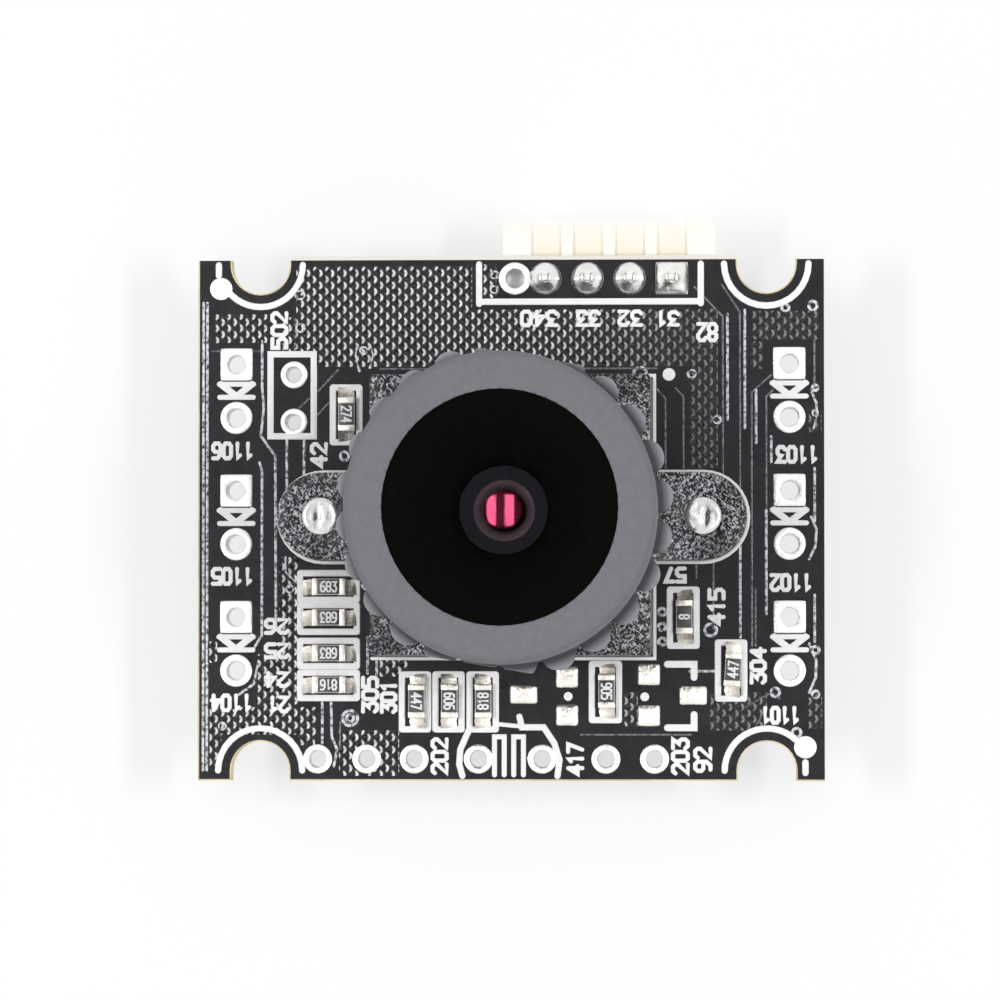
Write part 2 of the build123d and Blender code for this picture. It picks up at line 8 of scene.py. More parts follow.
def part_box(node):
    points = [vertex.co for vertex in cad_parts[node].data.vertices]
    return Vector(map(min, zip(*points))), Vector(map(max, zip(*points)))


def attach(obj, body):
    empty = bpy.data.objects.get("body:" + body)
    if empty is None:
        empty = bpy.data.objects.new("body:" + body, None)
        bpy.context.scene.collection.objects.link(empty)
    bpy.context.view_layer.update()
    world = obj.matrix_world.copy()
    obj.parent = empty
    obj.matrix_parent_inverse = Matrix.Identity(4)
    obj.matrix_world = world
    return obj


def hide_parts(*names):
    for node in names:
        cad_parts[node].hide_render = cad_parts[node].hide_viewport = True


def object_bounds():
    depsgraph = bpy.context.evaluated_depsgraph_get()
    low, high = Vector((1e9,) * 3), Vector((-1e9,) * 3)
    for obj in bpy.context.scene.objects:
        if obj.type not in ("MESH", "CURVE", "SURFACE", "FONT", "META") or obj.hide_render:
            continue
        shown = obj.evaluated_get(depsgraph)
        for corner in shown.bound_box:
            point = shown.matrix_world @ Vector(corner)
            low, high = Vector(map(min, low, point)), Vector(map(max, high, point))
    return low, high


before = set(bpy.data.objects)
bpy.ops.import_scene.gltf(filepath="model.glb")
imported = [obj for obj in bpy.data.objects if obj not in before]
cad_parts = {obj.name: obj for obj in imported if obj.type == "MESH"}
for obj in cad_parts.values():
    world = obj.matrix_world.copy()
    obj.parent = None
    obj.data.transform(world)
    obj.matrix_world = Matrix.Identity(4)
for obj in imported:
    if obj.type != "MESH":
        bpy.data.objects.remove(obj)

bl_info = {
    "name": "Camera board dressing",
    "version": (1, 0, 0),
    "blender": (4, 5, 0),
    "location": "3D View > Sidebar > Camera board",
    "description": "Finishes and fine detail of a bare camera board with a screw-in lens",
    "category": "Object",
}

# Points and sizes in this file are in millimetres in the CAD's frame, and become metres in the meshes.
MM = 0.001
BOARD, LENS, GLASSES = "board", "lens_barrel", "lens_glasses"
SCREW_PLACE = 9.0
LAND_LAP = 0.02
HATCH_HEIGHT = 0.006
REAR_LINE = 0.15
cad_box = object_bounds()


# Settings that a user would change

def length(name, description, millimetres):
    return bpy.props.FloatProperty(name=name, description=description, default=millimetres * MM,
                                   unit="LENGTH", precision=6)


def colour(name, description, value):
    return bpy.props.FloatVectorProperty(name=name, description=description, default=value,
                                         subtype="COLOR", size=3, min=0.0, max=1.0)


def plain(name, description, value):
    return bpy.props.FloatProperty(name=name, description=description, default=value)


def angle(name, description, degrees):
    return bpy.props.FloatProperty(name=name, description=description, default=math.radians(degrees),
                                   subtype="ANGLE", unit="ROTATION")


class BoardSettings(bpy.types.PropertyGroup):
    """Sizes and colours of the circuit board's skins."""
    notch_pitch: length("Notch pitch", "Distance between the corner notches", 24.0)
    notch_radius: length("Notch radius", "Radius of the corner notches", 1.38)
    mask_setback: length("Mask setback", "Bare laminate left along two of the board's edges", 0.07)
    mask_height: length("Mask height", "Thickness of the solder mask", 0.02)
    ink_height: length("Ink height", "Thickness of the white print", 0.02)
    ink_line: length("Ink line", "Width of the printed lines", 0.3)
    hatch_pitch: length("Hatch pitch", "Distance between openings of the hatched copper", 0.41)
    trace_width: length("Trace width", "Width of the copper edges that show through the mask", 0.12)
    mask_colour: colour("Mask colour", "Black solder mask", (0.011, 0.011, 0.0135))
    ink_colour: colour("Ink colour", "White print", (0.99, 0.99, 0.99))
    laminate_colour: colour("Laminate colour", "Glass fibre laminate at the edges", (0.74, 0.62, 0.41))


class LensSettings(bpy.types.PropertyGroup):
    """Sizes and colours of the lens and its holder."""
    scallop_radius: length("Scallop radius", "Radius of each grip bump", 0.78)
    scallop_circle: length("Scallop circle", "Radius of the circle of bump centres", 6.92)
    scallop_root: length("Scallop root", "Radius of the ring between the bumps", 7.05)
    scallop_phase: angle("Scallop phase", "Turn of the first bump", 5.5)
    flat_distance: length("Flat distance", "Distance of the two flats from the axis", 7.11)
    flat_turn: angle("Flat turn", "Turn of the two flats", 80.5)
    ring_height: length("Ring height", "Height of the grip ring", 2.2)
    ring_edge: length("Ring edge", "Rounding of the grip ring's edges", 0.22)
    hood_radius: length("Hood radius", "Outer radius of the hood", 7.0)
    hood_round: length("Hood rounding", "Rounding of the hood's front edge", 0.4)
    mouth_radius: length("Mouth radius", "Radius of the hood's mouth", 5.25)
    cone_depth: length("Cone depth", "Depth of the light cone", 4.0)
    aperture_radius: length("Aperture radius", "Radius of the opening over the front glass", 2.05)
    barrel_below: length("Barrel below seat", "Length of the threaded body below the ring", 4.5)
    thread_radius: length("Thread radius", "Outer radius of the lens thread", 5.9)
    thread_pitch: length("Thread pitch", "Pitch of the lens thread", 0.5)
    thread_depth: length("Thread depth", "Depth of the lens thread", 0.27)
    # The barrel's grey colour is painted sheen on black moulding.
    barrel_painted_sheen: colour("Barrel colour", "Sheen of the matte black moulding", (0.165, 0.16, 0.18))
    cone_colour: colour("Cone colour", "Blackened cone inside the hood", (0.0022, 0.0022, 0.0018))
    holder_colour: colour("Holder colour", "Black moulding with painted glints", (0.006, 0.0062, 0.0085))
    coating_colour: colour("Coating colour", "Reflection of the glass coating", (1.0, 0.12, 0.25))


class StudioSettings(bpy.types.PropertyGroup):
    """Light, floor and camera."""
    view_distance: length("View distance", "Distance from the camera to its target", 250.0)
    focal_length: plain("Focal length", "Focal length on a 36 mm sensor, in millimetres", 189.9)
    side_distance: length("Side light distance", "Distance of the two side lights", 270.0)
    side_tilt: angle("Side light tilt", "Angle of the side lights from straight above", 28.0)
    side_width: length("Side light width", "Width of each side light", 24.0)
    side_height: length("Side light height", "Height of each side light", 80.0)
    side_radiance: plain("Side radiance", "Brightness of the side lights", 35.0)
    bar_width: length("Bar light width", "Width of the lights that the front glass mirrors", 15.5)
    bar_height: length("Bar light height", "Height of the lights that the front glass mirrors", 55.0)
    bar_radiance: plain("Bar radiance", "Brightness of the lights that the front glass mirrors", 28.0)
    fill: plain("Fill", "Strength of the light from all round", 0.56)
    floor_glow: plain("Floor glow", "Share of plain white in the floor as the camera sees it", 0.62)


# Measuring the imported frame

def box_mm(node):
    low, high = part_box(node)
    return [value / MM for value in low], [value / MM for value in high]


def islands(node):
    """Corner points of each separate solid of a CAD node, in millimetres."""
    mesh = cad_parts[node].data
    keys = [tuple(round(c / MM, 4) for c in vertex.co) for vertex in mesh.vertices]
    parent = {key: key for key in keys}

    def root(key):
        while parent[key] != key:
            parent[key] = parent[parent[key]]
            key = parent[key]
        return key

    for polygon in mesh.polygons:
        first = root(keys[polygon.vertices[0]])
        for index in polygon.vertices[1:]:
            parent[root(keys[index])] = first
    groups = {}
    for key in parent:
        groups.setdefault(root(key), []).append(key)
    return list(groups.values())


def extent(points, axis):
    values = [point[axis] for point in points]
    return min(values), max(values)


def footprint(points):
    """Centre, half width and half height of a shape seen from above."""
    (left, right), (bottom, top) = extent(points, 0), extent(points, 1)
    return (left + right) / 2, (bottom + top) / 2, (right - left) / 2, (top - bottom) / 2


def is_square(points):
    """Whether a shape seen from above reaches further at its corners than a round one would."""
    x, y, half, _ = footprint(points)
    return max(math.hypot(px - x, py - y) for px, py, _ in points) > 1.2 * half


def plated_places():
    """Every plated hole as x, y, land width and whether its front land is square."""
    places = []
    for points in islands("plated_holes"):
        x, y, half, _ = footprint(points)
        places.append((x, y, 2 * half, is_square(points)))
    return places


def mask_top(board):
    """Height of the front mask's surface."""
    return box_mm("circuit_board")[1][2] + board.mask_height / MM


def lying(points):
    """Centre and turn of a chip part from its corner points."""
    x, y, _, _ = footprint(points)
    xx = sum((px - x) ** 2 for px, _, _ in points)
    yy = sum((py - y) ** 2 for _, py, _ in points)
    xy = sum((px - x) * (py - y) for px, py, _ in points)
    return x, y, math.atan2(2 * xy, xx - yy) / 2


# Shapes

def placed(name, mesh, body, replaces=()):
    """A mesh as a Blender object that rides on its body."""
    piece = bpy.data.objects.new(name, mesh)
    bpy.context.scene.collection.objects.link(piece)
    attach(piece, body)
    if replaces:
        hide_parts(*replaces)
    return piece


class Shape:
    """Points and faces of one piece, in millimetres, with a finish number for each face."""

    def __init__(self):
        self.points, self.faces, self.finishes = [], [], []
        self.strokes = 0

    def add(self, points, faces, finish=0):
        start = len(self.points)
        self.points += [tuple(point) for point in points]
        self.faces += [tuple(index + start for index in face) for face in faces]
        self.finishes += [finish] * len(faces)

    def grid(self, rows, finish=0, closed=False):
        """Rows of points joined by quads; closed joins each row's end to its start."""
        count = len(rows[0])
        faces = []
        for r in range(len(rows) - 1):
            for c in range(count if closed else count - 1):
                d = (c + 1) % count
                faces.append((r * count + c, r * count + d, (r + 1) * count + d, (r + 1) * count + c))
        self.add([point for row in rows for point in row], faces, finish)

    def cap(self, row, finish=0):
        self.add(row, [tuple(range(len(row)))], finish)

    def mesh(self, name):
        mesh = bpy.data.meshes.new(name)
        mesh.from_pydata([[c * MM for c in point] for point in self.points], [], self.faces)
        return mesh

    def piece(self, name, body, finishes, slot, sharp=35, replaces=(), facing=0):
        """The finished piece; facing is 1 or -1 where all its faces look up or down."""
        mesh = self.mesh(name)
        for polygon, number in zip(mesh.polygons, self.finishes):
            polygon.material_index = number
        for material in finishes:
            mesh.materials.append(material)
        weld = bmesh.new()
        weld.from_mesh(mesh)
        bmesh.ops.remove_doubles(weld, verts=weld.verts, dist=1e-7)
        bmesh.ops.recalc_face_normals(weld, faces=weld.faces)
        if facing:
            wrong = [face for face in weld.faces if face.normal.z * facing < 0]
            bmesh.ops.reverse_faces(weld, faces=wrong)
        weld.to_mesh(mesh)
        weld.free()
        mesh.shade_smooth()
        mesh.set_sharp_from_angle(angle=math.radians(sharp))
        return placed(name, mesh, body, replaces)


def circle(radius, z, count=48, x=0.0, y=0.0):
    turns = [2 * math.pi * k / count for k in range(count)]
    return [(x + radius * math.cos(t), y + radius * math.sin(t), z) for t in turns]


def flat_circle(x, y, radius, count=32):
    return [(px, py) for px, py, _ in circle(radius, 0, count, x, y)]


def lathe(shape, outline, count=64, x=0.0, y=0.0, finish=0):
    shape.grid([circle(radius, z, count, x, y) for radius, z in outline], finish, closed=True)


def arc(x, y, radius, start, end, count=16):
    turns = [math.radians(start + (end - start) * k / count) for k in range(count + 1)]
    return [(x + radius * math.cos(t), y + radius * math.sin(t)) for t in turns]


def offset_path(path, distance, closed):
    """A path moved sideways, with mitred corners."""
    count = len(path)
    moved = []
    for k, (x, y) in enumerate(path):
        before = path[k - 1] if closed or k else None
        after = path[(k + 1) % count] if closed or k < count - 1 else None
        ways = []
        for one, two in ((before, (x, y)), ((x, y), after)):
            if one and two:
                dx, dy = two[0] - one[0], two[1] - one[1]
                size = math.hypot(dx, dy)
                ways.append((-dy / size, dx / size))
        nx, ny = sum(way[0] for way in ways) / len(ways), sum(way[1] for way in ways) / len(ways)
        stretch = 1 / max(nx * nx + ny * ny, 0.25)
        moved.append((x + nx * distance * stretch, y + ny * distance * stretch))
    return moved


def ribbon(shape, path, width, low, high, slope=0.03, closed=False, finish=0):
    """A raised line along a path, with sloped sides and round ends; crossing lines differ in height."""
    half = width / 2
    high += 0.0015 * (shape.strokes % 5)
    shape.strokes += 1
    rows = []
    for distance, z in ((-half, low), (slope - half, high), (half - slope, high), (half, low)):
        rows.append([(x, y, z) for x, y in offset_path(path, distance, closed)])
    shape.grid(rows, finish, closed)
    if closed:
        return
    for (x, y), (ox, oy) in ((path[0], path[1]), (path[-1], path[-2])):
        outward = math.atan2(y - oy, x - ox)
        fan = [outward + math.pi * (k / 6 - 0.5) for k in range(7)]
        foot = [(x + half * math.cos(t), y + half * math.sin(t), low) for t in fan]
        top = [(x + (half - slope) * math.cos(t), y + (half - slope) * math.sin(t), high) for t in fan]
        shape.grid([foot, top], finish)
        shape.cap(top, finish)


def rectangle_path(x, y, width, height):
    return [(x - width / 2, y - height / 2), (x + width / 2, y - height / 2),
            (x + width / 2, y + height / 2), (x - width / 2, y + height / 2)]


# Strokes of each digit on a field 4 wide and 6 tall
DIGITS = {
    "0": [[(1, 0), (3, 0), (4, 1), (4, 5), (3, 6), (1, 6), (0, 5), (0, 1), (1, 0)]],
    "1": [[(0.8, 4.8), (2.2, 6), (2.2, 0)]],
    "2": [[(0, 5), (1, 6), (3, 6), (4, 5), (4, 4), (0, 0), (4, 0)]],
    "3": [[(0, 6), (4, 6), (2, 3.6), (3.2, 3.4), (4, 2.4), (4, 1), (3, 0), (1, 0), (0, 1)]],
    "4": [[(3, 0), (3, 6)], [(3, 6), (0, 2), (4, 2)]],
    "5": [[(4, 6), (0, 6), (0, 3.5), (3, 3.5), (4, 2.5), (4, 1), (3, 0), (0, 0)]],
    "6": [[(4, 6), (1.6, 6), (0, 4.4), (0, 1), (1, 0), (3, 0), (4, 1), (4, 2.5), (3, 3.4)],
          [(3, 3.4), (0, 3.4)]],
    "7": [[(0, 6), (4, 6), (1.2, 0)]],
    "8": [[(1, 3.2), (0, 4), (0, 5), (1, 6), (3, 6), (4, 5), (4, 4), (3, 3.2), (1, 3.2)],
          [(1, 3.2), (0, 2.2), (0, 1), (1, 0), (3, 0), (4, 1), (4, 2.2), (3, 3.2)]],
    "9": [[(0.6, 0), (2.4, 0), (4, 1.6), (4, 5), (3, 6), (1, 6), (0, 5), (0, 3.6), (1, 2.8)],
          [(1, 2.8), (4, 2.8)]],
}


def number(shape, text, x, y, length, height, turn, line, low, high, finish=0):
    """A plain number in stroked digits, centred on a point."""
    wide = (length - line) / (5.7 * (len(text) - 1) + 4)
    tall = (height - line) / 6
    c, s = math.cos(turn), math.sin(turn)
    for place, digit in enumerate(text):
        shift = (place - (len(text) - 1) / 2) * 5.7 - 2
        for stroke in DIGITS[digit]:
            local = [((px + shift) * wide, (py - 3) * tall) for px, py in stroke]
            path = [(x + c * px - s * py, y + s * px + c * py) for px, py in local]
            whole = stroke[0] == stroke[-1]
            ribbon(shape, path[:-1] if whole else path, line, low, high, line * 0.12, whole, finish)


def filled_sheet(name, outline, holes, low, height):
    """Mesh of a flat sheet with holes, from one filled flat curve."""
    curve = bpy.data.curves.new(name, "CURVE")
    curve.dimensions, curve.fill_mode = "2D", "BOTH"
    for path in [outline] + holes:
        spline = curve.splines.new("POLY")
        spline.points.add(len(path) - 1)
        for point, (x, y) in zip(spline.points, path):
            point.co = (x * MM, y * MM, 0, 1)
        spline.use_cyclic_u = True
    curve.extrude = height * MM / 2
    holder = bpy.data.objects.new(name + "_outline", curve)
    holder.location.z = (low + height / 2) * MM
    bpy.context.scene.collection.objects.link(holder)
    bpy.context.view_layer.update()
    mesh = bpy.data.meshes.new_from_object(holder.evaluated_get(bpy.context.evaluated_depsgraph_get()))
    mesh.transform(holder.matrix_world)
    bpy.data.objects.remove(holder)
    return mesh


def sheet_piece(name, outline, holes, low, height, material):
    """One sheet of solder mask on the board."""
    mesh = filled_sheet(name, outline, holes, low, height)
    mesh.name = name
    mesh.materials.clear()
    mesh.materials.append(material)
    placed(name, mesh, BOARD)


def hatched_sheets(name, zones, low, holes, material):
    """Sheets of mask over hatched copper, in the zones where its dimples show."""
    for count, (left, bottom, right, top) in enumerate(zones, 1):
        outline = [(left, bottom), (right, bottom), (right, top), (left, top)]
        inside = [hole for hole in holes
                  if all(left < x < right and bottom < y < top for x, y in hole)]
        sheet_piece(f"{name}_{count}", outline, inside, low, HATCH_HEIGHT, material)


def land_openings(front):
    """Openings of the mask over the lands of one face, which lap under its edge a little."""
    openings = []
    for x, y, width, square in plated_places():
        if front and square:
            openings.append(rectangle_path(x, y, width - 2 * LAND_LAP, width - 2 * LAND_LAP))
        else:
            openings.append(flat_circle(x, y, width / 2 - LAND_LAP))
    return openings


def softened(node, name, width, material, segments=3):
    """A copy of a CAD node of the board with rounded edges, which replaces it."""
    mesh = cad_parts[node].data.copy()
    weld = bmesh.new()
    weld.from_mesh(mesh)
    bmesh.ops.remove_doubles(weld, verts=weld.verts, dist=1e-6)
    bmesh.ops.dissolve_limit(weld, angle_limit=math.radians(1), verts=weld.verts, edges=weld.edges)
    bmesh.ops.connect_verts_concave(weld, faces=weld.faces)
    weld.to_mesh(mesh)
    weld.free()
    mesh.shade_smooth()
    mesh.materials.clear()
    mesh.materials.append(material)
    piece = placed(name, mesh, BOARD, [node])
    bevel = piece.modifiers.new("Rounded edges", "BEVEL")
    bevel.width, bevel.segments = width * MM, segments
    bevel.limit_method, bevel.angle_limit = "ANGLE", math.radians(30)
    bevel.harden_normals = True
    return piece


# Finishes

class Finish:
    """One node material: a shader whose colour, roughness and relief vary with noise."""

    def __init__(self, name, colour, roughness, **sockets):
        self.material = bpy.data.materials.new(name)
        self.material.use_nodes = True
        self.nodes, self.links = self.material.node_tree.nodes, self.material.node_tree.links
        self.shader = self.nodes["Principled BSDF"]
        self.shader.inputs["Base Color"].default_value = (*colour, 1)
        self.shader.inputs["Roughness"].default_value = roughness
        for socket, value in sockets.items():
            self.shader.inputs[socket.replace("_", " ")].default_value = value
        self.place = self.nodes.new("ShaderNodeTexCoord").outputs["Object"]
        self.height = None

    def new(self, kind, **values):
        node = self.nodes.new(kind)
        for key, value in values.items():
            setattr(node, key, value)
        return node

    def noise(self, feature, detail=4.0, stretch=(1, 1, 1), turn=0):
        """Noise whose spots are about that many millimetres across."""
        mapping = self.new("ShaderNodeMapping", vector_type="TEXTURE")
        mapping.inputs["Scale"].default_value = [feature * MM * s for s in stretch]
        mapping.inputs["Rotation"].default_value = (0, 0, math.radians(turn))
        self.links.new(self.place, mapping.inputs["Vector"])
        noise = self.new("ShaderNodeTexNoise")
        noise.inputs["Scale"].default_value = 1.0
        noise.inputs["Detail"].default_value = detail
        self.links.new(mapping.outputs["Vector"], noise.inputs["Vector"])
        return noise.outputs["Fac"]

    def axis(self, name):
        """One coordinate of the shaded point, in metres."""
        node = self.new("ShaderNodeSeparateXYZ")
        self.links.new(self.place, node.inputs["Vector"])
        return node.outputs[name]

    def combine(self, operation, first, second):
        node = self.new("ShaderNodeMath", operation=operation)
        self.links.new(first, node.inputs[0])
        self.links.new(second, node.inputs[1])
        return node.outputs["Value"]

    def span(self, source, low, high, start=0.3, end=0.7):
        """A value that runs from low to high as the source runs from start to end."""
        node = self.new("ShaderNodeMapRange")
        for socket, value in (("From Min", start), ("From Max", end), ("To Min", low), ("To Max", high)):
            node.inputs[socket].default_value = value
        self.links.new(source, node.inputs["Value"])
        return node.outputs["Result"]

    def colours(self, source, first, second, start=0.3, end=0.7):
        node = self.new("ShaderNodeValToRGB")
        node.color_ramp.elements[0].position, node.color_ramp.elements[1].position = start, end
        node.color_ramp.elements[0].color, node.color_ramp.elements[1].color = (*first, 1), (*second, 1)
        self.links.new(source, node.inputs["Fac"])
        self.links.new(node.outputs["Color"], self.shader.inputs["Base Color"])
        return node

    def rough(self, source, low, high):
        self.links.new(self.span(source, low, high), self.shader.inputs["Roughness"])

    def relief(self, source, depth, strength=1.0):
        """Bumps of that depth in millimetres, added to any earlier relief."""
        bump = self.new("ShaderNodeBump")
        bump.inputs["Distance"].default_value = depth * MM
        bump.inputs["Strength"].default_value = strength
        self.links.new(source, bump.inputs["Height"])
        if self.height:
            self.links.new(self.height, bump.inputs["Normal"])
        self.height = bump.outputs["Normal"]
        self.links.new(self.height, self.shader.inputs["Normal"])


def shade(colour, factor):
    return tuple(min(1.0, c * factor) for c in colour)


def mask_finish(settings):
    """Black solder mask with a soft gloss, orange peel and dust."""
    colour = tuple(settings.mask_colour)
    finish = Finish("Solder mask", colour, 0.3, Specular_IOR_Level=0.24)
    finish.colours(finish.noise(1.4), shade(colour, 0.75), shade(colour, 1.5))
    finish.rough(finish.noise(0.5), 0.22, 0.42)
    finish.relief(finish.noise(0.16, 3), 0.003)
    return finish.material


def hatch_finish(settings):
    """Solder mask over hatched copper: rows of dimples at 45 degrees, each with a painted glint, a white
    crescent in its colour on one side; the painted glints grow weaker towards +X, and dust is added.
    """
    colour = tuple(settings.mask_colour)
    finish = Finish("Mask over hatched copper", colour, 0.2, Specular_IOR_Level=0.27)
    mapping = finish.new("ShaderNodeMapping")
    mapping.inputs["Rotation"].default_value = (0, 0, math.radians(45))
    mapping.inputs["Scale"].default_value = [1 / settings.hatch_pitch] * 2 + [0]
    finish.links.new(finish.place, mapping.inputs["Vector"])
    cells = finish.new("ShaderNodeTexVoronoi")
    cells.inputs["Scale"].default_value = 1.0
    cells.inputs["Randomness"].default_value = 0.06
    finish.links.new(mapping.outputs["Vector"], cells.inputs["Vector"])
    reach = cells.outputs["Distance"]
    away = finish.new("ShaderNodeVectorMath", operation="SUBTRACT")
    finish.links.new(mapping.outputs["Vector"], away.inputs[0])
    finish.links.new(cells.outputs["Position"], away.inputs[1])
    side = finish.new("ShaderNodeVectorMath", operation="DOT_PRODUCT")
    finish.links.new(away.outputs["Vector"], side.inputs[0])
    side.inputs[1].default_value = (math.sqrt(0.5), math.sqrt(0.5), 0)
    # Painted glint: a white crescent painted into the colour on one side of each dimple.
    inner, outer = finish.span(reach, 0, 1, 0.14, 0.24), finish.span(reach, 1, 0, 0.4, 0.52)
    rim = finish.combine("MULTIPLY", inner, outer)
    glint = finish.combine("MULTIPLY", rim, finish.span(side.outputs["Value"], 0, 1, 0.06, 0.16))
    # Painted light: the painted glints grow weaker towards +X.
    painted_glint_falloff = finish.span(finish.axis("X"), 1.0, 0.3, 0.002, 0.008)
    uneven = finish.combine("MULTIPLY", finish.span(finish.noise(0.3), 0.5, 1.0), painted_glint_falloff)
    dust = finish.span(finish.noise(0.15), 0, 0.04, 0.45, 0.7)
    lit = finish.combine("ADD", finish.combine("MULTIPLY", glint, uneven), dust)
    # Colour runs from the mask's own colour to white with the painted glints and the dust.
    finish.colours(lit, shade(colour, 1.2), (1.0, 1.0, 1.0), 0.0, 1.0)
    finish.rough(finish.noise(0.5), 0.14, 0.28)
    finish.relief(finish.span(reach, 0, 1, 0.1, 0.36), 0.05)
    finish.relief(finish.noise(0.16, 3), 0.003)
    return finish.material


def trace_finish(settings, glint):
    """Mask over a copper edge: thin and lighter than the mask, with glints painted into its colour as bright
    noisy spots.
    """
    colour = shade(tuple(settings.mask_colour), 3.0)
    finish = Finish("Mask over copper edge", colour, 0.24, Specular_IOR_Level=0.4)
    # Painted glints: bright spots of colour where the noise is high.
    finish.colours(finish.noise(0.2, 6), shade(colour, 1.5), (glint, glint, glint * 1.08), 0.36, 0.56)
    finish.rough(finish.noise(0.3), 0.14, 0.3)
    finish.relief(finish.noise(0.14, 4), 0.04)
    return finish.material


def ink_finish(settings):
    """White print, slightly uneven."""
    colour = tuple(settings.ink_colour)
    finish = Finish("White print", colour, 0.5)
    finish.colours(finish.noise(0.4), shade(colour, 0.92), colour)
    finish.rough(finish.noise(0.2), 0.4, 0.65)
    finish.relief(finish.noise(0.08), 0.003)
    return finish.material


def laminate_finish(settings):
    """Glass fibre laminate in layers, pale where the edge was snapped off."""
    colour = tuple(settings.laminate_colour)
    finish = Finish("Laminate", colour, 0.6)
    layers = finish.noise(0.12, 3, (12, 12, 1))
    snapped = finish.span(finish.axis("Y"), 0, 1, 0.01221, 0.01223)
    pale = finish.combine("MAXIMUM", layers, snapped)
    ramp = finish.colours(pale, shade(colour, 0.8), shade(colour, 1.2))
    ramp.color_ramp.elements.new(0.95).color = (0.95, 0.92, 0.87, 1)
    finish.rough(finish.noise(0.3), 0.5, 0.8)
    finish.relief(layers, 0.02)
    return finish.material


def metal_finish(name, colour, roughness, spots, depth, darker=0.8):
    """Bare metal with uneven gloss and fine relief."""
    finish = Finish(name, colour, roughness, Metallic=1.0)
    finish.colours(finish.noise(spots), shade(colour, darker), colour)
    finish.rough(finish.noise(spots * 0.6), roughness * 0.6, roughness * 1.5)
    finish.relief(finish.noise(spots * 0.5, 3), depth)
    return finish.material


def plastic_finish(name, colour, low_gloss, high_gloss, grain, depth, contrast=0.2, **sockets):
    """Moulded plastic with a fine grain."""
    finish = Finish(name, colour, high_gloss, **sockets)
    finish.colours(finish.noise(grain * 5), shade(colour, 1 - contrast), shade(colour, 1 + contrast))
    finish.rough(finish.noise(grain * 3), low_gloss, high_gloss)
    finish.relief(finish.noise(grain, 5), depth)
    return finish.material


def holder_finish(settings):
    """Coarse black moulding, its colour painted with short bright streaks in patches as glints; the same
    streaks also give its relief.
    """
    colour = tuple(settings.holder_colour)
    finish = Finish("Black moulding with painted glints", colour, 0.3, Specular_IOR_Level=0.25)
    streaks = [finish.span(finish.noise(0.085, 2, (1, 2.2, 1), turn), 0, 1, 0.53, 0.64)
               for turn in (40, -35)]
    patches = finish.span(finish.noise(1.8), 0.45, 1.0, 0.4, 0.6)
    # Painted glints: bright streaks painted into the colour, in patches.
    glints = finish.combine("MULTIPLY", finish.combine("MAXIMUM", *streaks), patches)
    finish.colours(glints, colour, (0.72, 0.72, 0.76), 0.0, 1.0)
    finish.rough(finish.noise(0.3), 0.2, 0.45)
    finish.relief(finish.combine("MAXIMUM", *streaks), 0.03)
    return finish.material


def grip_finish(settings):
    """Moulding of the grip ring, with painted shade between the hood's foot and the rounded bumps and a
    painted highlight on the bumps' outer rims.
    """
    colour = tuple(settings.barrel_painted_sheen)
    finish = Finish("Grip ring moulding", colour, 0.6, Specular_IOR_Level=0.3)
    # Painted shade near the hood, turning into a painted highlight towards the bumps' rims, by distance from
    # the axis.
    outward = finish.span(radius_of(finish), 0, 1, 0.0072, 0.0077)
    finish.colours(outward, shade(colour, 0.4), shade(colour, 1.9), 0.0, 0.75)
    finish.rough(finish.noise(0.2), 0.5, 0.7)
    finish.relief(finish.noise(0.06, 5), 0.006)
    return finish.material


def radius_of(finish):
    """Distance of the shaded point from the lens axis."""
    flat = finish.new("ShaderNodeVectorMath", operation="MULTIPLY")
    flat.inputs[1].default_value = (1, 1, 0)
    finish.links.new(finish.place, flat.inputs[0])
    reach = finish.new("ShaderNodeVectorMath", operation="LENGTH")
    finish.links.new(flat.outputs["Vector"], reach.inputs[0])
    return reach.outputs["Value"]


def glass_finish(settings):
    """Coated front glass that mirrors crimson in its middle, next to nothing round that, grey outside."""
    finish = Finish("Coated glass", (0.75, 0.72, 0.8), 0.04, IOR=1.52, Transmission_Weight=1.0)
    tint = finish.new("ShaderNodeValToRGB")
    stops = tint.color_ramp.elements
    stops[0].position, stops[0].color = 0.38, (*settings.coating_colour, 1)
    stops[1].position, stops[1].color = 0.58, (0.3, 0.28, 0.36, 1)
    stops.new(0.45).color = (0.02, 0.0, 0.005, 1)
    stops.new(0.53).color = (0.02, 0.01, 0.015, 1)
    finish.links.new(finish.span(radius_of(finish), 0, 1, 0.0, 0.002), tint.inputs["Fac"])
    finish.links.new(tint.outputs["Color"], finish.shader.inputs["Specular Tint"])
    finish.colours(finish.noise(3.0), (0.7, 0.66, 0.76), (0.8, 0.78, 0.84))
    finish.rough(finish.noise(0.8), 0.045, 0.065)
    return finish.material


def clear_finish():
    """Faces of a glass that mirror nothing."""
    finish = Finish("Clear glass face", (0.95, 0.93, 0.96), 0.02, IOR=1.0, Transmission_Weight=1.0)
    finish.colours(finish.noise(3.0), (0.93, 0.9, 0.95), (0.97, 0.95, 0.98))
    finish.rough(finish.noise(0.8), 0.01, 0.03)
    return finish.material


def dark_glass_finish():
    """Glass deep in the barrel, painted near black as the shade inside the barrel, with a brown ring part
    way out from its middle.
    """
    finish = Finish("Glass painted with barrel shade", (0.004, 0.003, 0.004), 0.3, Specular_IOR_Level=0.0)
    ramp = finish.colours(finish.span(radius_of(finish), 0, 1, 0.0, 0.002),
                          (0.004, 0.002, 0.003), (0.006, 0.006, 0.007), 0.42, 0.72)
    ramp.color_ramp.elements.new(0.5).color = (0.1, 0.065, 0.058, 1)
    ramp.color_ramp.elements.new(0.64).color = (0.2, 0.14, 0.125, 1)
    finish.rough(finish.noise(0.8), 0.3, 0.5)
    finish.relief(finish.noise(0.1), 0.02)
    return finish.material


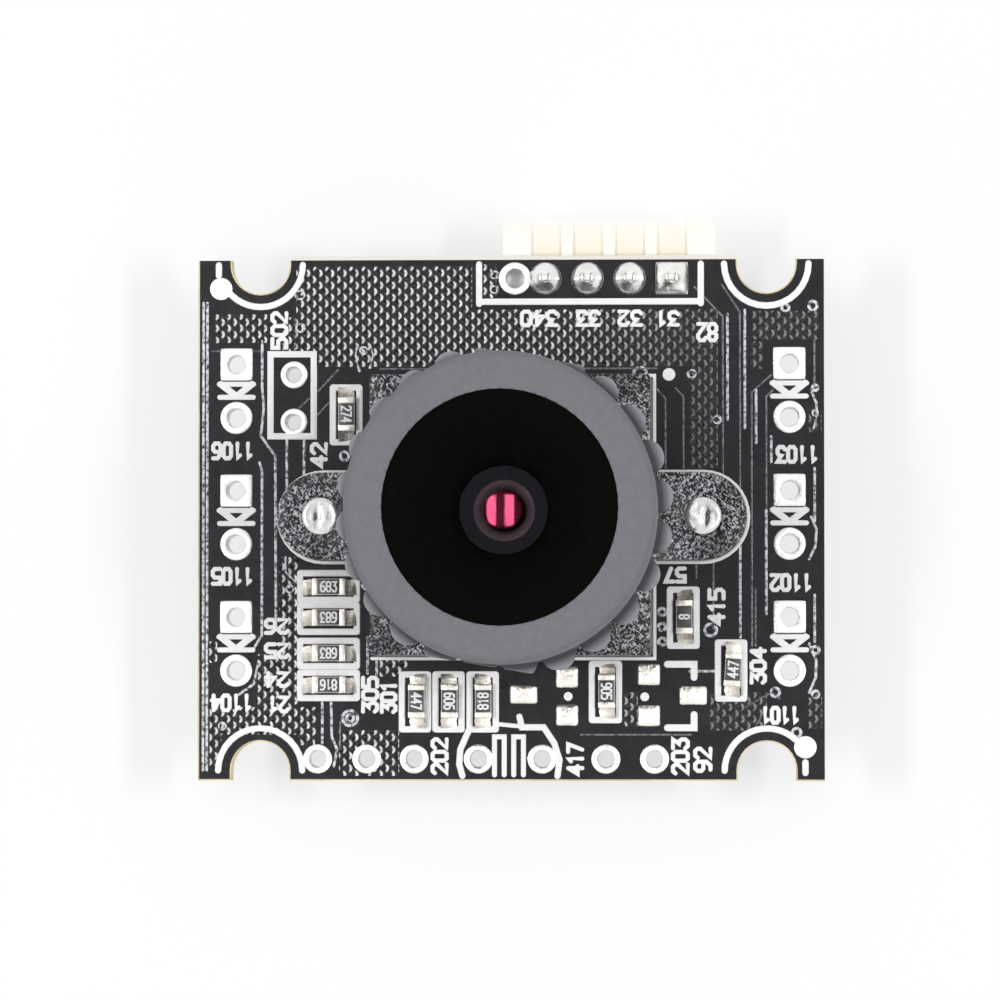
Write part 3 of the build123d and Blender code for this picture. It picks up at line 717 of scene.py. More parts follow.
def nylon_finish():
    """Cream-white nylon, with painted shade down in its recesses, where it turns warmer and deeper in
    colour.
    """
    finish = Finish("Cream nylon", (0.96, 0.95, 0.91), 0.5, Subsurface_Weight=0.1, Subsurface_Scale=0.001)
    # Painted shade: the colour grows warmer and deeper with depth below the housing's face.
    depth = finish.span(finish.axis("Z"), 0, 1, -0.001, 0.0)
    ramp = finish.colours(depth, (0.9, 0.87, 0.79), (0.935, 0.92, 0.875), 0.0, 0.93)
    ramp.color_ramp.elements.new(0.3).color = (0.9, 0.87, 0.79, 1)
    ramp.color_ramp.elements.new(0.55).color = (0.93, 0.78, 0.6, 1)
    finish.rough(finish.noise(0.9), 0.4, 0.6)
    finish.relief(finish.noise(0.3, 5), 0.01)
    return finish.material


def screw_coat():
    return metal_finish("Nickel plated screw", (0.78, 0.77, 0.76), 0.22, 0.5, 0.02)


def assign(node, material):
    """Gives a CAD node that keeps its shape a better material."""
    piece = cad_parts[node]
    if not piece.material_slots:
        piece.data.materials.append(material)
    for held in piece.material_slots:
        held.link = "OBJECT"
        held.material = material


# Places of the print, in millimetres

# Plain numbers: text, place, length and height of the whole number, turn in degrees
LABELS = (
    ("1106", -13.33, 3.16, 2.05, 0.9, 180), ("1105", -13.34, -2.8, 2.05, 0.9, 180),
    ("1104", -13.38, -8.8, 2.05, 0.9, 180), ("1103", 13.44, 2.95, 2.05, 0.9, 180),
    ("1102", 13.14, -3.11, 2.05, 0.9, 180), ("1101", 12.62, -9.38, 1.9, 0.9, 180),
    ("340", 1.24, 9.42, 1.85, 0.85, 180), ("33", 3.58, 9.42, 1.2, 0.85, 180),
    ("32", 5.56, 9.42, 1.25, 0.85, 180), ("31", 7.32, 9.4, 1.2, 0.8, 180),
    ("82", 9.2, 8.75, 1.06, 0.98, 180), ("502", -11.11, 8.88, 1.85, 0.87, 90),
    ("42", -9.22, 2.95, 1.25, 0.87, 90), ("415", 9.62, -4.25, 1.8, 0.87, 90),
    ("304", 11.59, -7.04, 1.8, 0.83, 90), ("305", -6.78, -8.41, 1.8, 0.87, 90),
    ("301", -5.9, -8.53, 1.6, 0.85, 90), ("202", -3.48, -11.32, 1.8, 0.87, 90),
    ("417", 2.94, -11.45, 1.6, 0.87, 90), ("203", 7.91, -11.32, 1.8, 0.9, 90),
    ("92", 8.97, -11.48, 1.25, 0.92, 90), ("26", -11.21, -5.17, 1.25, 0.82, 180),
    ("25", -11.21, -6.33, 1.25, 0.82, 180), ("24", -11.21, -7.69, 1.25, 0.82, 180),
    ("21", -11.13, -8.87, 1.1, 0.87, 180), ("57", 7.67, -2.75, 1.1, 0.82, 180),
)
# Number on each chip resistor and whether it stands upside down
RESISTOR_NUMBERS = (
    ("274", True), ("683", False), ("683", True), ("683", True), ("816", True), ("447", True),
    ("606", True), ("818", True), ("905", True), ("8", False), ("447", False),
)
# Printed boxes round the chip resistors: place, width and height
RESISTOR_BOXES = (
    (-7.93, 4.86, 1.26, 2.6), (-8.76, -3.28, 2.7, 1.26), (-8.76, -4.8, 2.7, 1.26),
    (-8.76, -6.46, 2.7, 1.2), (-8.76, -7.97, 2.7, 1.2), (-4.65, -8.75, 1.24, 2.6),
    (-3.06, -8.75, 1.24, 2.6), (-1.44, -8.75, 1.24, 2.6), (4.37, -8.28, 1.28, 2.66),
    (8.05, -4.77, 1.26, 2.65), (10.31, -7.27, 1.24, 2.65),
)
# Zones of hatched copper: left, bottom, right, top
HATCHED_ZONES = (
    (-10.3, 7.9, -1.95, 11.9), (-9.4, 7.15, -1.95, 7.9), (-1.95, 7.15, 9.7, 9.85),
    (-14.2, 8.3, -11.7, 9.65), (-10.95, 7.9, -10.35, 9.5), (-14.4, -10.3, -9.35, -9.0),
    (-14.4, -11.8, -13.85, -10.3), (-11.1, -6.5, -10.2, -1.9), (-12.2, -9.0, -10.2, -6.5),
    (-14.5, -6.9, -14.05, -5.9), (-10.2, -10.8, -9.4, -10.3), (-8.25, -12.25, -5.4, -10.1),
    (-6.4, -7.55, -5.0, -6.7), (8.35, 2.3, 9.7, 7.1), (11.3, 8.4, 14.5, 9.75), (11.25, 7.0, 11.85, 8.3),
    (9.3, -10.1, 12.0, -8.3), (5.1, -9.9, 5.9, -8.3), (13.95, -10.0, 14.6, -8.4),
    (-1.5, 10.4, -0.8, 12.0), (14.0, 4.0, 14.6, 5.0),
)
# Copper edges under the mask as paths; the first group gets brighter painted glints than the second
BRIGHT_EDGES = (
    ((-14.72, 10.2), (-14.72, -12.0)), ((-14.54, 10.2), (-14.54, -12.0)),
    ((-11.93, 8.4), (-11.93, 6.2), (-11.85, 5.2), (-11.95, 4.2), (-12.0, 3.9), (-11.3, 2.9), (-11.26, -4.8)),
    ((-12.05, 2.6), (-11.93, 2.2), (-11.93, -5.6), (-12.3, -6.2)),
    ((-12.1, -6.9), (-12.3, -7.9), (-13.0, -8.4)), ((-10.75, 3.8), (-10.75, 1.3)),
    ((-9.93, 3.7), (-9.93, 1.9)), ((-9.05, -8.8), (-9.05, -10.7)),
    ((-8.63, -8.8), (-8.6, -10.4), (-8.35, -11.0), (-8.5, -11.8)),
    ((-10.8, -1.9), (-10.8, -2.6), (-10.3, -3.1)), ((-7.3, 6.95), (-7.5, 7.7), (-7.35, 8.2)),
    ((-6.8, 7.1), (-6.65, 7.7), (-6.8, 8.2)), ((-6.9, -5.7), (-6.9, -7.4)),
    ((-6.47, -6.8), (-6.47, -7.5)), ((10.16, 9.6), (10.16, 4.6)), ((10.98, 9.8), (10.98, 4.2)),
    ((11.51, 6.0), (11.51, 3.5)), ((12.22, 3.8), (12.22, 2.6)), ((14.27, 2.3), (14.27, -0.2)),
    ((11.98, 0.3), (11.98, -4.6)), ((14.26, -3.7), (14.26, -5.9)), ((10.75, -1.0), (10.75, -5.7)),
    ((14.1, 6.0), (14.35, 5.4), (14.38, 4.8), (14.2, 4.1)),
    ((14.0, -6.0), (14.33, -6.8), (14.3, -7.6), (14.0, -8.3)),
    ((14.1, 0.0), (14.35, -0.6), (14.3, -1.4), (14.0, -2.0)), ((5.0, -7.3), (5.0, -7.9)),
    ((8.35, -7.3), (9.5, -7.3)),
)
FAINT_EDGES = (
    ((-9.34, 5.9), (-8.32, 7.0)), ((-10.15, 5.2), (-9.68, 5.65)), ((-9.3, 4.85), (-8.75, 5.45)),
    ((8.6, 10.9), (9.94, 9.5), (9.94, 2.0)), ((9.9, 11.0), (10.75, 9.7), (10.75, 0.8)),
    ((12.2, 6.7), (11.3, 5.9), (11.3, -6.1)), ((12.3, 6.0), (11.99, 5.7), (11.99, 0.4)),
    ((14.27, 8.4), (14.27, 6.1)), ((6.7, 6.2), (7.22, 5.6), (7.22, 2.1)),
    ((7.7, 6.1), (8.07, 5.7), (8.07, 2.1)), ((9.48, -2.2), (9.48, -5.3)), ((8.67, -2.2), (8.67, -2.9)),
    ((11.47, -3.4), (11.47, -6.1)), ((-6.3, 7.04), (6.8, 7.04)), ((-8.2, -11.0), (-8.2, -9.7)),
    ((3.2, -10.3), (8.4, -10.3)), ((11.0, -9.0), (12.2, -8.3), (12.6, -8.6)),
    ((11.4, -10.0), (12.0, -9.0)), ((-12.0, 7.9), (-14.3, 7.9)),
)
# Vias: place and radius
VIAS = (
    (-10.12, 10.57, 0.2), (-10.1, 9.01, 0.2), (-7.1, 7.92, 0.17), (-7.73, -9.52, 0.36),
    (-7.73, -9.52, 0.17), (6.02, 6.8, 0.3), (8.48, 6.78, 0.18), (9.65, 4.6, 0.17), (14.2, 10.0, 0.2),
    (12.9, 9.9, 0.17), (14.3, 6.1, 0.13), (14.3, 4.9, 0.13), (9.35, -5.35, 0.28), (7.05, -4.5, 0.17),
    (7.05, -5.2, 0.17), (7.05, -5.9, 0.17), (12.4, -8.3, 0.2), (14.3, -6.3, 0.17), (14.3, -8.4, 0.17),
    (-6.95, -3.2, 0.2), (-10.6, -3.4, 0.17), (-13.8, -9.9, 0.17), (-8.0, 2.9, 0.2), (-0.9, 11.5, 0.17),
    (-0.9, 10.8, 0.17), (13.4, -10.2, 0.2),
)

# The same for the rear face
REAR_LABELS = (
    ("70", 0.8, 2.75), ("64", -4.2, 2.75), ("20", -6.4, -2.2), ("12", -12.2, -3.4), ("13", -12.2, -6.1),
    ("14", -12.2, -8.4), ("7", 8.2, -2.8), ("9", 8.2, -5.6), ("16", 11.5, -1.85), ("18", 12.2, -9.2),
    ("3", 12.9, 8.6), ("5", -2.1, -10.3), ("108", 2.0, -10.35), ("200", -13.0, 9.6), ("41", -8.2, 8.3),
)
REAR_VIAS = (
    (-12.2, 2.6), (-11.8, 3.6), (-7.2, 1.4), (-6.0, 0.2), (-5.2, 1.6), (5.9, 1.9), (6.6, 0.7),
    (6.9, 2.6), (11.9, 2.6), (12.2, -0.4), (-3.8, -10.6), (-6.9, -10.5), (6.6, -9.6), (7.4, -10.6),
    (8.6, -8.3), (0.6, 3.6), (1.8, 3.7), (-12.5, -0.2), (-8.3, -6.6), (-7.6, -7.4), (6.2, 9.7),
    (12.6, 9.4), (-6.6, 10.9), (-3.1, 10.6),
)
REAR_EDGES = (
    ((-4.0, -0.6), (-5.2, 0.6), (-5.2, 1.6)), ((-4.0, -1.1), (-6.0, 0.2)), ((-4.0, -4.0), (-4.6, -4.0)),
    ((-1.6, 2.1), (-1.6, 3.0), (-2.6, 3.5)), ((-0.6, 2.1), (-0.6, 3.4), (0.6, 3.6)),
    ((2.6, 2.1), (2.6, 3.0), (1.8, 3.7)), ((3.4, 2.1), (4.6, 3.3), (4.6, 4.6)),
    ((5.4, -1.2), (6.6, 0.7)), ((5.4, -4.2), (6.0, -4.2)),
    ((-12.2, 2.6), (-12.2, 0.8), (-12.5, -0.2), (-12.5, -1.9)),
    ((-7.2, 1.4), (-11.6, 1.9), (-11.8, 3.6)), ((-8.3, -6.6), (-8.3, -9.2), (-9.27, -10.4)),
    ((-7.6, -7.4), (-7.6, -9.4), (-6.94, -10.5)), ((6.6, -9.6), (6.69, -10.6)),
    ((8.6, -8.3), (9.4, -7.4), (9.4, -5.0)), ((-14.6, 10.2), (-14.6, -12.0)),
    ((14.3, 10.2), (14.3, -12.0)), ((6.9, 2.6), (8.3, 3.0), (8.3, 4.2)),
    ((11.9, 2.6), (11.6, 3.6), (10.9, 4.0)),
)
REAR_HATCHED_ZONES = (
    (-11.8, 3.2, -8.9, 10.0), (-10.3, 10.0, -1.9, 11.9), (-6.4, -11.2, -5.2, -9.9),
    (3.0, -12.2, 3.8, -9.9), (5.2, -10.6, 6.0, -9.9), (9.3, -10.2, 11.4, -9.0), (11.4, 4.0, 11.9, 10.0),
)


def holder_outline(reach):
    """Outline round the lens holder's square base, and round each ear."""
    base, ear = 6.6 + reach, 2.05 + reach
    paths = [rectangle_path(0, 0, 2 * base, 2 * base)]
    for side, start in ((-1, 270), (1, -90)):
        turn = arc(side * SCREW_PLACE, 0, ear, start, 90)
        paths.append([(side * base, -ear)] + turn + [(side * base, ear)])
    return paths


def print_lines(shape, settings, low, high):
    """Every printed line and symbol of the front face."""
    line = settings.ink_line / MM
    half = settings.notch_pitch / MM / 2
    for x, y, start, end in ((half, half, 180, 360), (-half, -half, 180, 0), (-half, half, 217, 360),
                             (half, -half, 180, 47)):
        ribbon(shape, arc(x, y, 2.0, start, end), line, low, high)
    ribbon(shape, [(-14.0, 12.0), (-14.0, 11.5)], line, low, high)
    ribbon(shape, [(13.81, -11.6), (13.81, -12.1)], line, low, high)
    lights = sorted({(round(x, 2), round(y, 2)) for x, y, width, square in plated_places()
                     if square and abs(x) > 12})
    for x, y in lights:
        top, foot = y - 0.94, y - 1.56
        ribbon(shape, [(x - 0.82, top), (x + 0.82, top)], 0.24, low, high)
        ribbon(shape, [(x - 0.8, foot), (x + 0.8, foot)], 0.24, low, high)
        for side in (-1, 1):
            ribbon(shape, [(x + side * 0.74, top), (x, foot + 0.04)], 0.32, low, high)
    ribbon(shape, rectangle_path(-10.5, 5.8, 2.06, 3.9), line, low, high, closed=True)
    ribbon(shape, [(-1.61, 10.22), (8.9, 10.22)], line, low, high)
    for x in (-1.61, 8.9):
        ribbon(shape, [(x, 12.0), (x, 10.12)], line, low, high)
    for place in RESISTOR_BOXES:
        box = rectangle_path(*place)
        for start, end in zip(box, box[1:] + box[:1]):
            ribbon(shape, [start, end], line, low, high)
    for path in holder_outline(0.1):
        ribbon(shape, path, 0.16, low, high)
    for x, y in ((2.61, -8.49), (6.23, -8.51)):
        shape.cap(circle(0.21, high, 16, x, y))
    shape.cap(circle(0.3, high, 20, 7.39, 6.75))
    for side in (1, -1):
        y = -8.47 + side * 1.5
        ribbon(shape, [(7.3, y), (8.56, y), (8.56, y - side * 0.62)], 0.33, low, high)
    ribbon(shape, [(-2.1, -10.1), (-2.5, -11.0), (-2.55, -11.7), (-2.4, -12.25)], line, low, high)
    ribbon(shape, [(0.3, -9.45), (0.42, -9.95), (1.45, -9.95), (1.95, -10.7), (2.2, -11.5), (2.1, -12.25)],
           line, low, high)
    ribbon(shape, [(-0.75, -9.8), (0.3, -9.9)], 0.2, low, high)
    for x in (-0.65, 0.26):
        ribbon(shape, [(x - 0.23, -12.2), (x - 0.23, -10.4), (x + 0.23, -10.4), (x + 0.23, -12.2)], 0.24,
               low, high)


# Operators

class Dressing:
    """What every operator of this file shares."""
    bl_options = {"REGISTER", "UNDO"}

    def execute(self, context):
        scene = context.scene
        self.make(scene.board_settings, scene.lens_settings, scene.studio_settings)
        return {"FINISHED"}


def aimed(place, target):
    """Matrix of a lamp or camera that looks from its place at a target, long side along Y."""
    back = (place - target).normalized()
    right = Vector((0, 1, 0)).cross(back).normalized()
    return Matrix.Translation(place) @ Matrix((right, back.cross(right), back)).transposed().to_4x4()


def strip_light(name, place, width, height, radiance):
    """An upright soft light aimed at the origin."""
    light = bpy.data.lights.new(name, "AREA")
    light.shape, light.size, light.size_y = "RECTANGLE", width, height
    light.energy = radiance * math.pi * width * height
    lamp = bpy.data.objects.new(name, light)
    lamp.matrix_world = aimed(Vector(place), Vector((0, 0, 0)))
    bpy.context.scene.collection.objects.link(lamp)
    return lamp


class CAMERABOARD_OT_stage(Dressing, bpy.types.Operator):
    """Sets up the floor, the soft studio light and the camera"""
    bl_idname = "cameraboard.stage"
    bl_label = "Floor, light and camera"

    # Point that the camera looks at, and the way back from it to the camera
    look_at = (-0.62, 0.81, 1.2)
    look_from = (0.042, -0.0325, 1)

    def make(self, board, lens, studio):
        scene = bpy.context.scene
        scene.view_settings.view_transform = "Standard"
        self.surroundings(scene, studio)
        self.floor(studio)
        tilt, reach = studio.side_tilt, studio.side_distance
        for side in (-1, 1):
            place = (side * reach * math.sin(tilt), 0, reach * math.cos(tilt))
            strip_light("side_light", place, studio.side_width, studio.side_height, studio.side_radiance)
        self.camera(scene, studio)

    def backdrop_rays(self, nodes, links):
        """One for rays that should see plain white: from the camera, and mirrored or through glass."""
        path = nodes.new("ShaderNodeLightPath")
        seen = path.outputs["Is Camera Ray"]
        for name in ("Is Glossy Ray", "Is Transmission Ray"):
            either = nodes.new("ShaderNodeMath")
            either.operation = "MAXIMUM"
            links.new(seen, either.inputs[0])
            links.new(path.outputs[name], either.inputs[1])
            seen = either.outputs[0]
        return seen

    def surroundings(self, scene, studio):
        world = bpy.data.worlds.new("White studio")
        scene.world = world
        world.use_nodes = True
        nodes, links = world.node_tree.nodes, world.node_tree.links
        white, fill = nodes["Background"], nodes.new("ShaderNodeBackground")
        white.inputs["Color"].default_value = (1, 1, 1, 1)
        fill.inputs["Color"].default_value = (1, 1, 1, 1)
        fill.inputs["Strength"].default_value = studio.fill
        mix = nodes.new("ShaderNodeMixShader")
        links.new(self.backdrop_rays(nodes, links), mix.inputs["Fac"])
        links.new(fill.outputs[0], mix.inputs[1])
        links.new(white.outputs[0], mix.inputs[2])
        links.new(mix.outputs[0], nodes["World Output"].inputs["Surface"])

    def floor(self, studio):
        shape = Shape()
        shape.cap([(x, y, cad_box[0][2] / MM) for x, y in rectangle_path(0, 0, 1800, 1800)])
        mesh = shape.mesh("floor")
        floor = bpy.data.objects.new("floor", mesh)
        bpy.context.scene.collection.objects.link(floor)
        finish = Finish("White floor", (0.9, 0.9, 0.9), 0.7)
        finish.colours(finish.noise(40), (0.95, 0.95, 0.95), (0.98, 0.98, 0.98))
        glow = finish.new("ShaderNodeEmission")
        mix = finish.new("ShaderNodeMixShader")
        share = finish.new("ShaderNodeMath", operation="MULTIPLY")
        share.inputs[1].default_value = studio.floor_glow
        finish.links.new(self.backdrop_rays(finish.nodes, finish.links), share.inputs[0])
        finish.links.new(share.outputs[0], mix.inputs["Fac"])
        finish.links.new(finish.shader.outputs[0], mix.inputs[1])
        finish.links.new(glow.outputs[0], mix.inputs[2])
        finish.links.new(mix.outputs[0], finish.nodes["Material Output"].inputs["Surface"])
        mesh.materials.append(finish.material)

    def camera(self, scene, studio):
        data = bpy.data.cameras.new("camera")
        data.lens, data.sensor_width, data.sensor_fit = studio.focal_length, 36.0, "HORIZONTAL"
        data.clip_start, data.clip_end = 0.01, 10.0
        camera = bpy.data.objects.new("camera", data)
        target = Vector(self.look_at) * MM
        back = Vector(self.look_from).normalized()
        camera.matrix_world = aimed(target + back * studio.view_distance, target)
        scene.collection.objects.link(camera)
        scene.camera = camera


class CAMERABOARD_OT_board(Dressing, bpy.types.Operator):
    """Gives the board its laminate, and the solder mask of both faces"""
    bl_idname = "cameraboard.board"
    bl_label = "Board and solder mask"

    def make(self, board, lens, studio):
        assign("circuit_board", laminate_finish(board))
        front, skin = box_mm("circuit_board")[1][2], board.mask_height / MM
        mask = mask_finish(board)
        outline = board_outline(board)
        screws = [flat_circle(side * SCREW_PLACE, 0, 1.05) for side in (-1, 1)]
        holes = land_openings(front=True)
        sheet_piece("solder_mask_front", outline, holes + screws, front, skin, mask)
        sheet_piece("solder_mask_rear", outline, land_openings(front=False) + screws, -skin, skin, mask)
        hatched_sheets("hatched_copper", HATCHED_ZONES, front + skin, holes, hatch_finish(board))


def board_outline(board):
    """Outline of one face with its four U-shaped notches, drawn in a little at the left and bottom."""
    low, high = box_mm("circuit_board")
    ridge, inset = 0.22, board.mask_setback / MM
    left, right = low[0] + inset, high[0] - 0.01
    bottom, top = low[1] + inset, high[1] - ridge - 0.01
    half, radius = board.notch_pitch / MM / 2, board.notch_radius / MM + inset
    points = [(left, bottom)]
    for x in (-half, half):
        points += [(x - radius, bottom)] + arc(x, -half, radius, 180, 0) + [(x + radius, bottom)]
    points += [(right, bottom), (right, top)]
    for x in (half, -half):
        points += [(x + radius, top)] + arc(x, half, radius, 360, 180) + [(x - radius, top)]
    return points + [(left, top)]


def via(shape, x, y, radius, low, high):
    """The raised ring of a small plated hole under the mask."""
    foot, crest = 0.07, 0.03
    outline = [(radius + foot, low), (radius + crest, high), (radius - crest, high), (radius - foot, low)]
    lathe(shape, outline, 20, x, y)


class CAMERABOARD_OT_traces(Dressing, bpy.types.Operator):
    """Lays the copper traces and vias that show through the mask"""
    bl_idname = "cameraboard.traces"
    bl_label = "Traces and vias"

    edge_height = 0.008

    def make(self, board, lens, studio):
        low = mask_top(board)
        high = low + self.edge_height
        bright, faint = Shape(), Shape()
        for path in BRIGHT_EDGES:
            ribbon(bright, path, board.trace_width / MM, low, high, 0.04)
        for path in FAINT_EDGES:
            ribbon(faint, path, 0.7 * board.trace_width / MM, low, high, 0.03)
        for x, y, radius in VIAS:
            via(bright, x, y, radius, low, high)
        bright.piece("bright_copper_edges", BOARD, [trace_finish(board, 0.75)], "board_mask")
        faint.piece("faint_copper_edges", BOARD, [trace_finish(board, 0.2)], "board_mask")


class CAMERABOARD_OT_print(Dressing, bpy.types.Operator):
    """Prints the white lines, symbols and plain numbers"""
    bl_idname = "cameraboard.print_marks"
    bl_label = "White print"

    def make(self, board, lens, studio):
        low = mask_top(board)
        high = low + board.ink_height / MM
        shape = Shape()
        print_lines(shape, board, low, high)
        for text, x, y, size, height, turn in LABELS:
            number(shape, text, x, y, size, height, math.radians(turn), 0.2, low, high)
        shape.piece("white_print", BOARD, [ink_finish(board)], "board_mask", facing=1)


def ring(x, y, wide, tall, z, power=2, count=40):
    """Points of an oval, or with a high power of a rectangle, by its half width and half height."""
    row = []
    for k in range(count):
        t = 2 * math.pi * k / count
        reach = (abs(math.cos(t)) ** power + abs(math.sin(t)) ** power) ** (-1 / power)
        row.append((x + wide * reach * math.cos(t), y + tall * reach * math.sin(t), z))
    return row


def between(inner, outer, share, z):
    """A row of points part of the way from one row to another."""
    return [(a[0] + (b[0] - a[0]) * share, a[1] + (b[1] - a[1]) * share, z) for a, b in zip(inner, outer)]


class CAMERABOARD_OT_lands(Dressing, bpy.types.Operator):
    """Makes the tinned lands, their holes and the domed pads"""
    bl_idname = "cameraboard.lands"
    bl_label = "Tinned lands and pads"

    def make(self, board, lens, studio):
        tin = metal_finish("Tinned land", (0.88, 0.89, 0.9), 0.42, 0.35, 0.03, 0.82)
        warm = metal_finish("Warm tinned pad", (0.93, 0.9, 0.82), 0.32, 0.5, 0.05, 0.8)
        low, high = box_mm("circuit_board")
        lands, marks, pads = Shape(), Shape(), Shape()
        for x, y, width, square in plated_places():
            self.land(lands, x, y, width, square, low[2], high[2])
        for points in islands("surface_pads"):
            shape, power = (pads, 12) if is_square(points) else (marks, 2)
            self.pad(shape, *footprint(points), extent(points, 2), power)
        lands.piece("tinned_lands", BOARD, [tin], "tinned_copper", 50, ["plated_holes"])
        marks.piece("sighting_marks", BOARD, [tin], "tinned_copper", 50)
        pads.piece("tinned_pads", BOARD, [warm], "tinned_copper", 50, ["surface_pads"])

    def land(self, shape, x, y, width, square, low, high):
        """A land with a softly domed rim on both faces and the plated wall between them."""
        half, rise = width / 2, 0.05
        hole, plain = ring(x, y, width * 0.28, width * 0.28, 0), ring(x, y, half, half, 0)
        front = ring(x, y, half, half, 0, 24) if square else plain
        profile = ((1.0, 0.0), (0.97, 0.45), (0.85, 0.85), (0.5, 1.0), (0.15, 0.85), (0.03, 0.4),
                   (0.0, -0.6))
        rows = [between(hole, front, share, high + rise * lift) for share, lift in profile]
        rows += [between(hole, plain, share, low - rise * lift) for share, lift in reversed(profile)]
        shape.grid(rows, closed=True)

    def pad(self, shape, x, y, wide, tall, heights, power):
        """A cushion of tin over one surface pad."""
        base, rise = heights[0], heights[1] - heights[0]
        rows = [ring(x, y, wide * share, tall * share, base + rise * lift, power) for share, lift in
                ((1.0, 0.0), (0.96, 0.45), (0.85, 0.75), (0.6, 0.93), (0.3, 1.0), (0.02, 1.0))]
        shape.grid(rows, closed=True)
        shape.cap(rows[-1])


class CAMERABOARD_OT_resistors(Dressing, bpy.types.Operator):
    """Makes the chip resistors with printed numbers, and the solder at their ends"""
    bl_idname = "cameraboard.resistors"
    bl_label = "Chip resistors"

    def make(self, board, lens, studio):
        ceramic = plastic_finish("White ceramic", (0.75, 0.75, 0.73), 0.5, 0.7, 0.1, 0.004, 0.05)
        coat = plastic_finish("Dark overcoat", (0.07, 0.066, 0.06), 0.3, 0.45, 0.12, 0.008, 0.35)
        tin = metal_finish("Tinned chip end", (0.84, 0.8, 0.74), 0.42, 0.3, 0.02, 0.75)
        ink = ink_finish(board)
        for k, (text, turned) in enumerate(RESISTOR_NUMBERS, 1):
            node = f"chip_resistor_{k}"
            low, high = box_mm(node)
            x, y, turn = lying(islands(node)[0])
            shape = Shape()
            self.resistor(shape, text, math.pi * turned, high[2] - low[2])
            place = Matrix.Translation((x, y, low[2])) @ Matrix.Rotation(turn, 4, "Z")
            shape.points = [tuple(place @ Vector(point)) for point in shape.points]
            shape.piece(f"resistor_{k}", BOARD, [ceramic, coat, tin, ink], "resistor_body", 40, [node])
        solder = Shape()
        for points in islands("front_chip_solder"):
            self.fillet(solder, points)
        shiny = metal_finish("Solder fillet", (0.82, 0.78, 0.71), 0.5, 0.3, 0.03, 0.8)
        solder.piece("front_solder", BOARD, [shiny], "solder", 60, ["front_chip_solder"])

    def resistor(self, shape, text, turn, height, long=1.6, wide=0.8, end=0.3):
        """One chip standing on z zero, long side along x."""
        self.block(shape, long / 2 - end, wide / 2 - 0.02, 0.04, height - 0.04, 0.015, 0)
        self.block(shape, long / 2 - end + 0.01, wide / 2 - 0.05, height - 0.06, height, 0.03, 1)
        for side in (-1, 1):
            self.block(shape, end / 2, wide / 2, 0, height, 0.05, 2, side * (long - end) / 2)
        size = 0.26 + 0.28 * (len(text) - 1)
        number(shape, text, 0, 0, size, 0.54, turn, 0.085, height, height + 0.006, 3)

    def block(self, shape, half_long, half_wide, low, high, edge, finish, x=0.0):
        """A box with rounded edges."""
        rows = []
        for inset, z in ((edge, low), (edge * 0.3, low + edge * 0.3), (0, low + edge), (0, high - edge),
                         (edge * 0.3, high - edge * 0.3), (edge, high)):
            row = []
            for quarter, (sx, sy) in enumerate(((1, 1), (-1, 1), (-1, -1), (1, -1))):
                for step in range(4):
                    t = math.radians(quarter * 90 + step * 30)
                    px = sx * (half_long - edge) + (edge - inset) * math.cos(t)
                    py = sy * (half_wide - edge) + (edge - inset) * math.sin(t)
                    row.append((px + x, py, z))
            rows.append(row)
        shape.grid(rows, finish, closed=True)
        shape.cap(rows[0], finish)
        shape.cap(rows[-1], finish)

    def fillet(self, shape, points):
        """Solder pillow at one chip end, climbing the end cap with a hollow face."""
        x, y, turn = lying(points)
        base, crest = extent(points, 2)
        away = [math.cos(turn), math.sin(turn)]
        along = [(px - x) * away[0] + (py - y) * away[1] for px, py, _ in points]
        tall = [a for a, point in zip(along, points) if point[2] > crest - 0.02]
        if sum(tall) > 0:
            away = [-away[0], -away[1]]
        across = [-away[1], away[0]]
        start, end, half = -max(along), max(along), 0.46
        rows = []
        for i in range(9):
            u = i / 8
            row = []
            for j in range(9):
                v = j / 4 - 1
                edge = 1 - abs(v) ** 6 * 0.75
                hollow = (1 - u) ** 2.2 * (crest - base) * edge + 0.05 * (1 - u ** 6) * edge
                reach = start + (end - start) * u + 0.02 * math.sin(7 * v)
                row.append((x + away[0] * reach + across[0] * v * half,
                            y + away[1] * reach + across[1] * v * half, base + max(hollow, 0.0)))
            rows.append(row)
        shape.grid(rows)


class CAMERABOARD_OT_holder(Dressing, bpy.types.Operator):
    """Dresses the lens holder, whose moulding has painted glints, and its two screws"""
    bl_idname = "cameraboard.holder"
    bl_label = "Lens holder and screws"

    def make(self, board, lens, studio):
        softened("lens_holder", "holder_moulding", 0.12, holder_finish(lens))
        steel = screw_coat()
        for side in ("left", "right"):
            node = f"holder_screw_{side}"
            assign(node, steel)
            self.tip(side, footprint(box_mm(node))[0], box_mm(node)[1][2], steel)

    def tip(self, side, x, top, steel):
        """The rough end of a screw, level with the ear, with a hollow a little off its middle."""
        shape = Shape()
        wide, crown, hollow = 0.86, 0.09, 0.08
        sway = -0.12 if side == "left" else 0.1
        rows = []
        for step in range(13):
            radius, row = wide * (1 - step / 12) + 0.002, []
            for px, py, _ in circle(radius, 0, 48):
                dent = math.exp(-((px - sway) ** 2 / 0.03 + py ** 2 / 0.14))
                swirl = 0.012 * math.sin(9 * radius + 3 * math.atan2(py, px) * (side == "right"))
                lift = crown * min(1, (wide + 0.02 - radius) * 9) - hollow * dent + swirl
                row.append((x + px, py, top + lift))
            rows.append(row)
        shape.grid(rows, closed=True)
        shape.piece(f"screw_tip_{side}", BOARD, [steel], "screw_steel", 60)


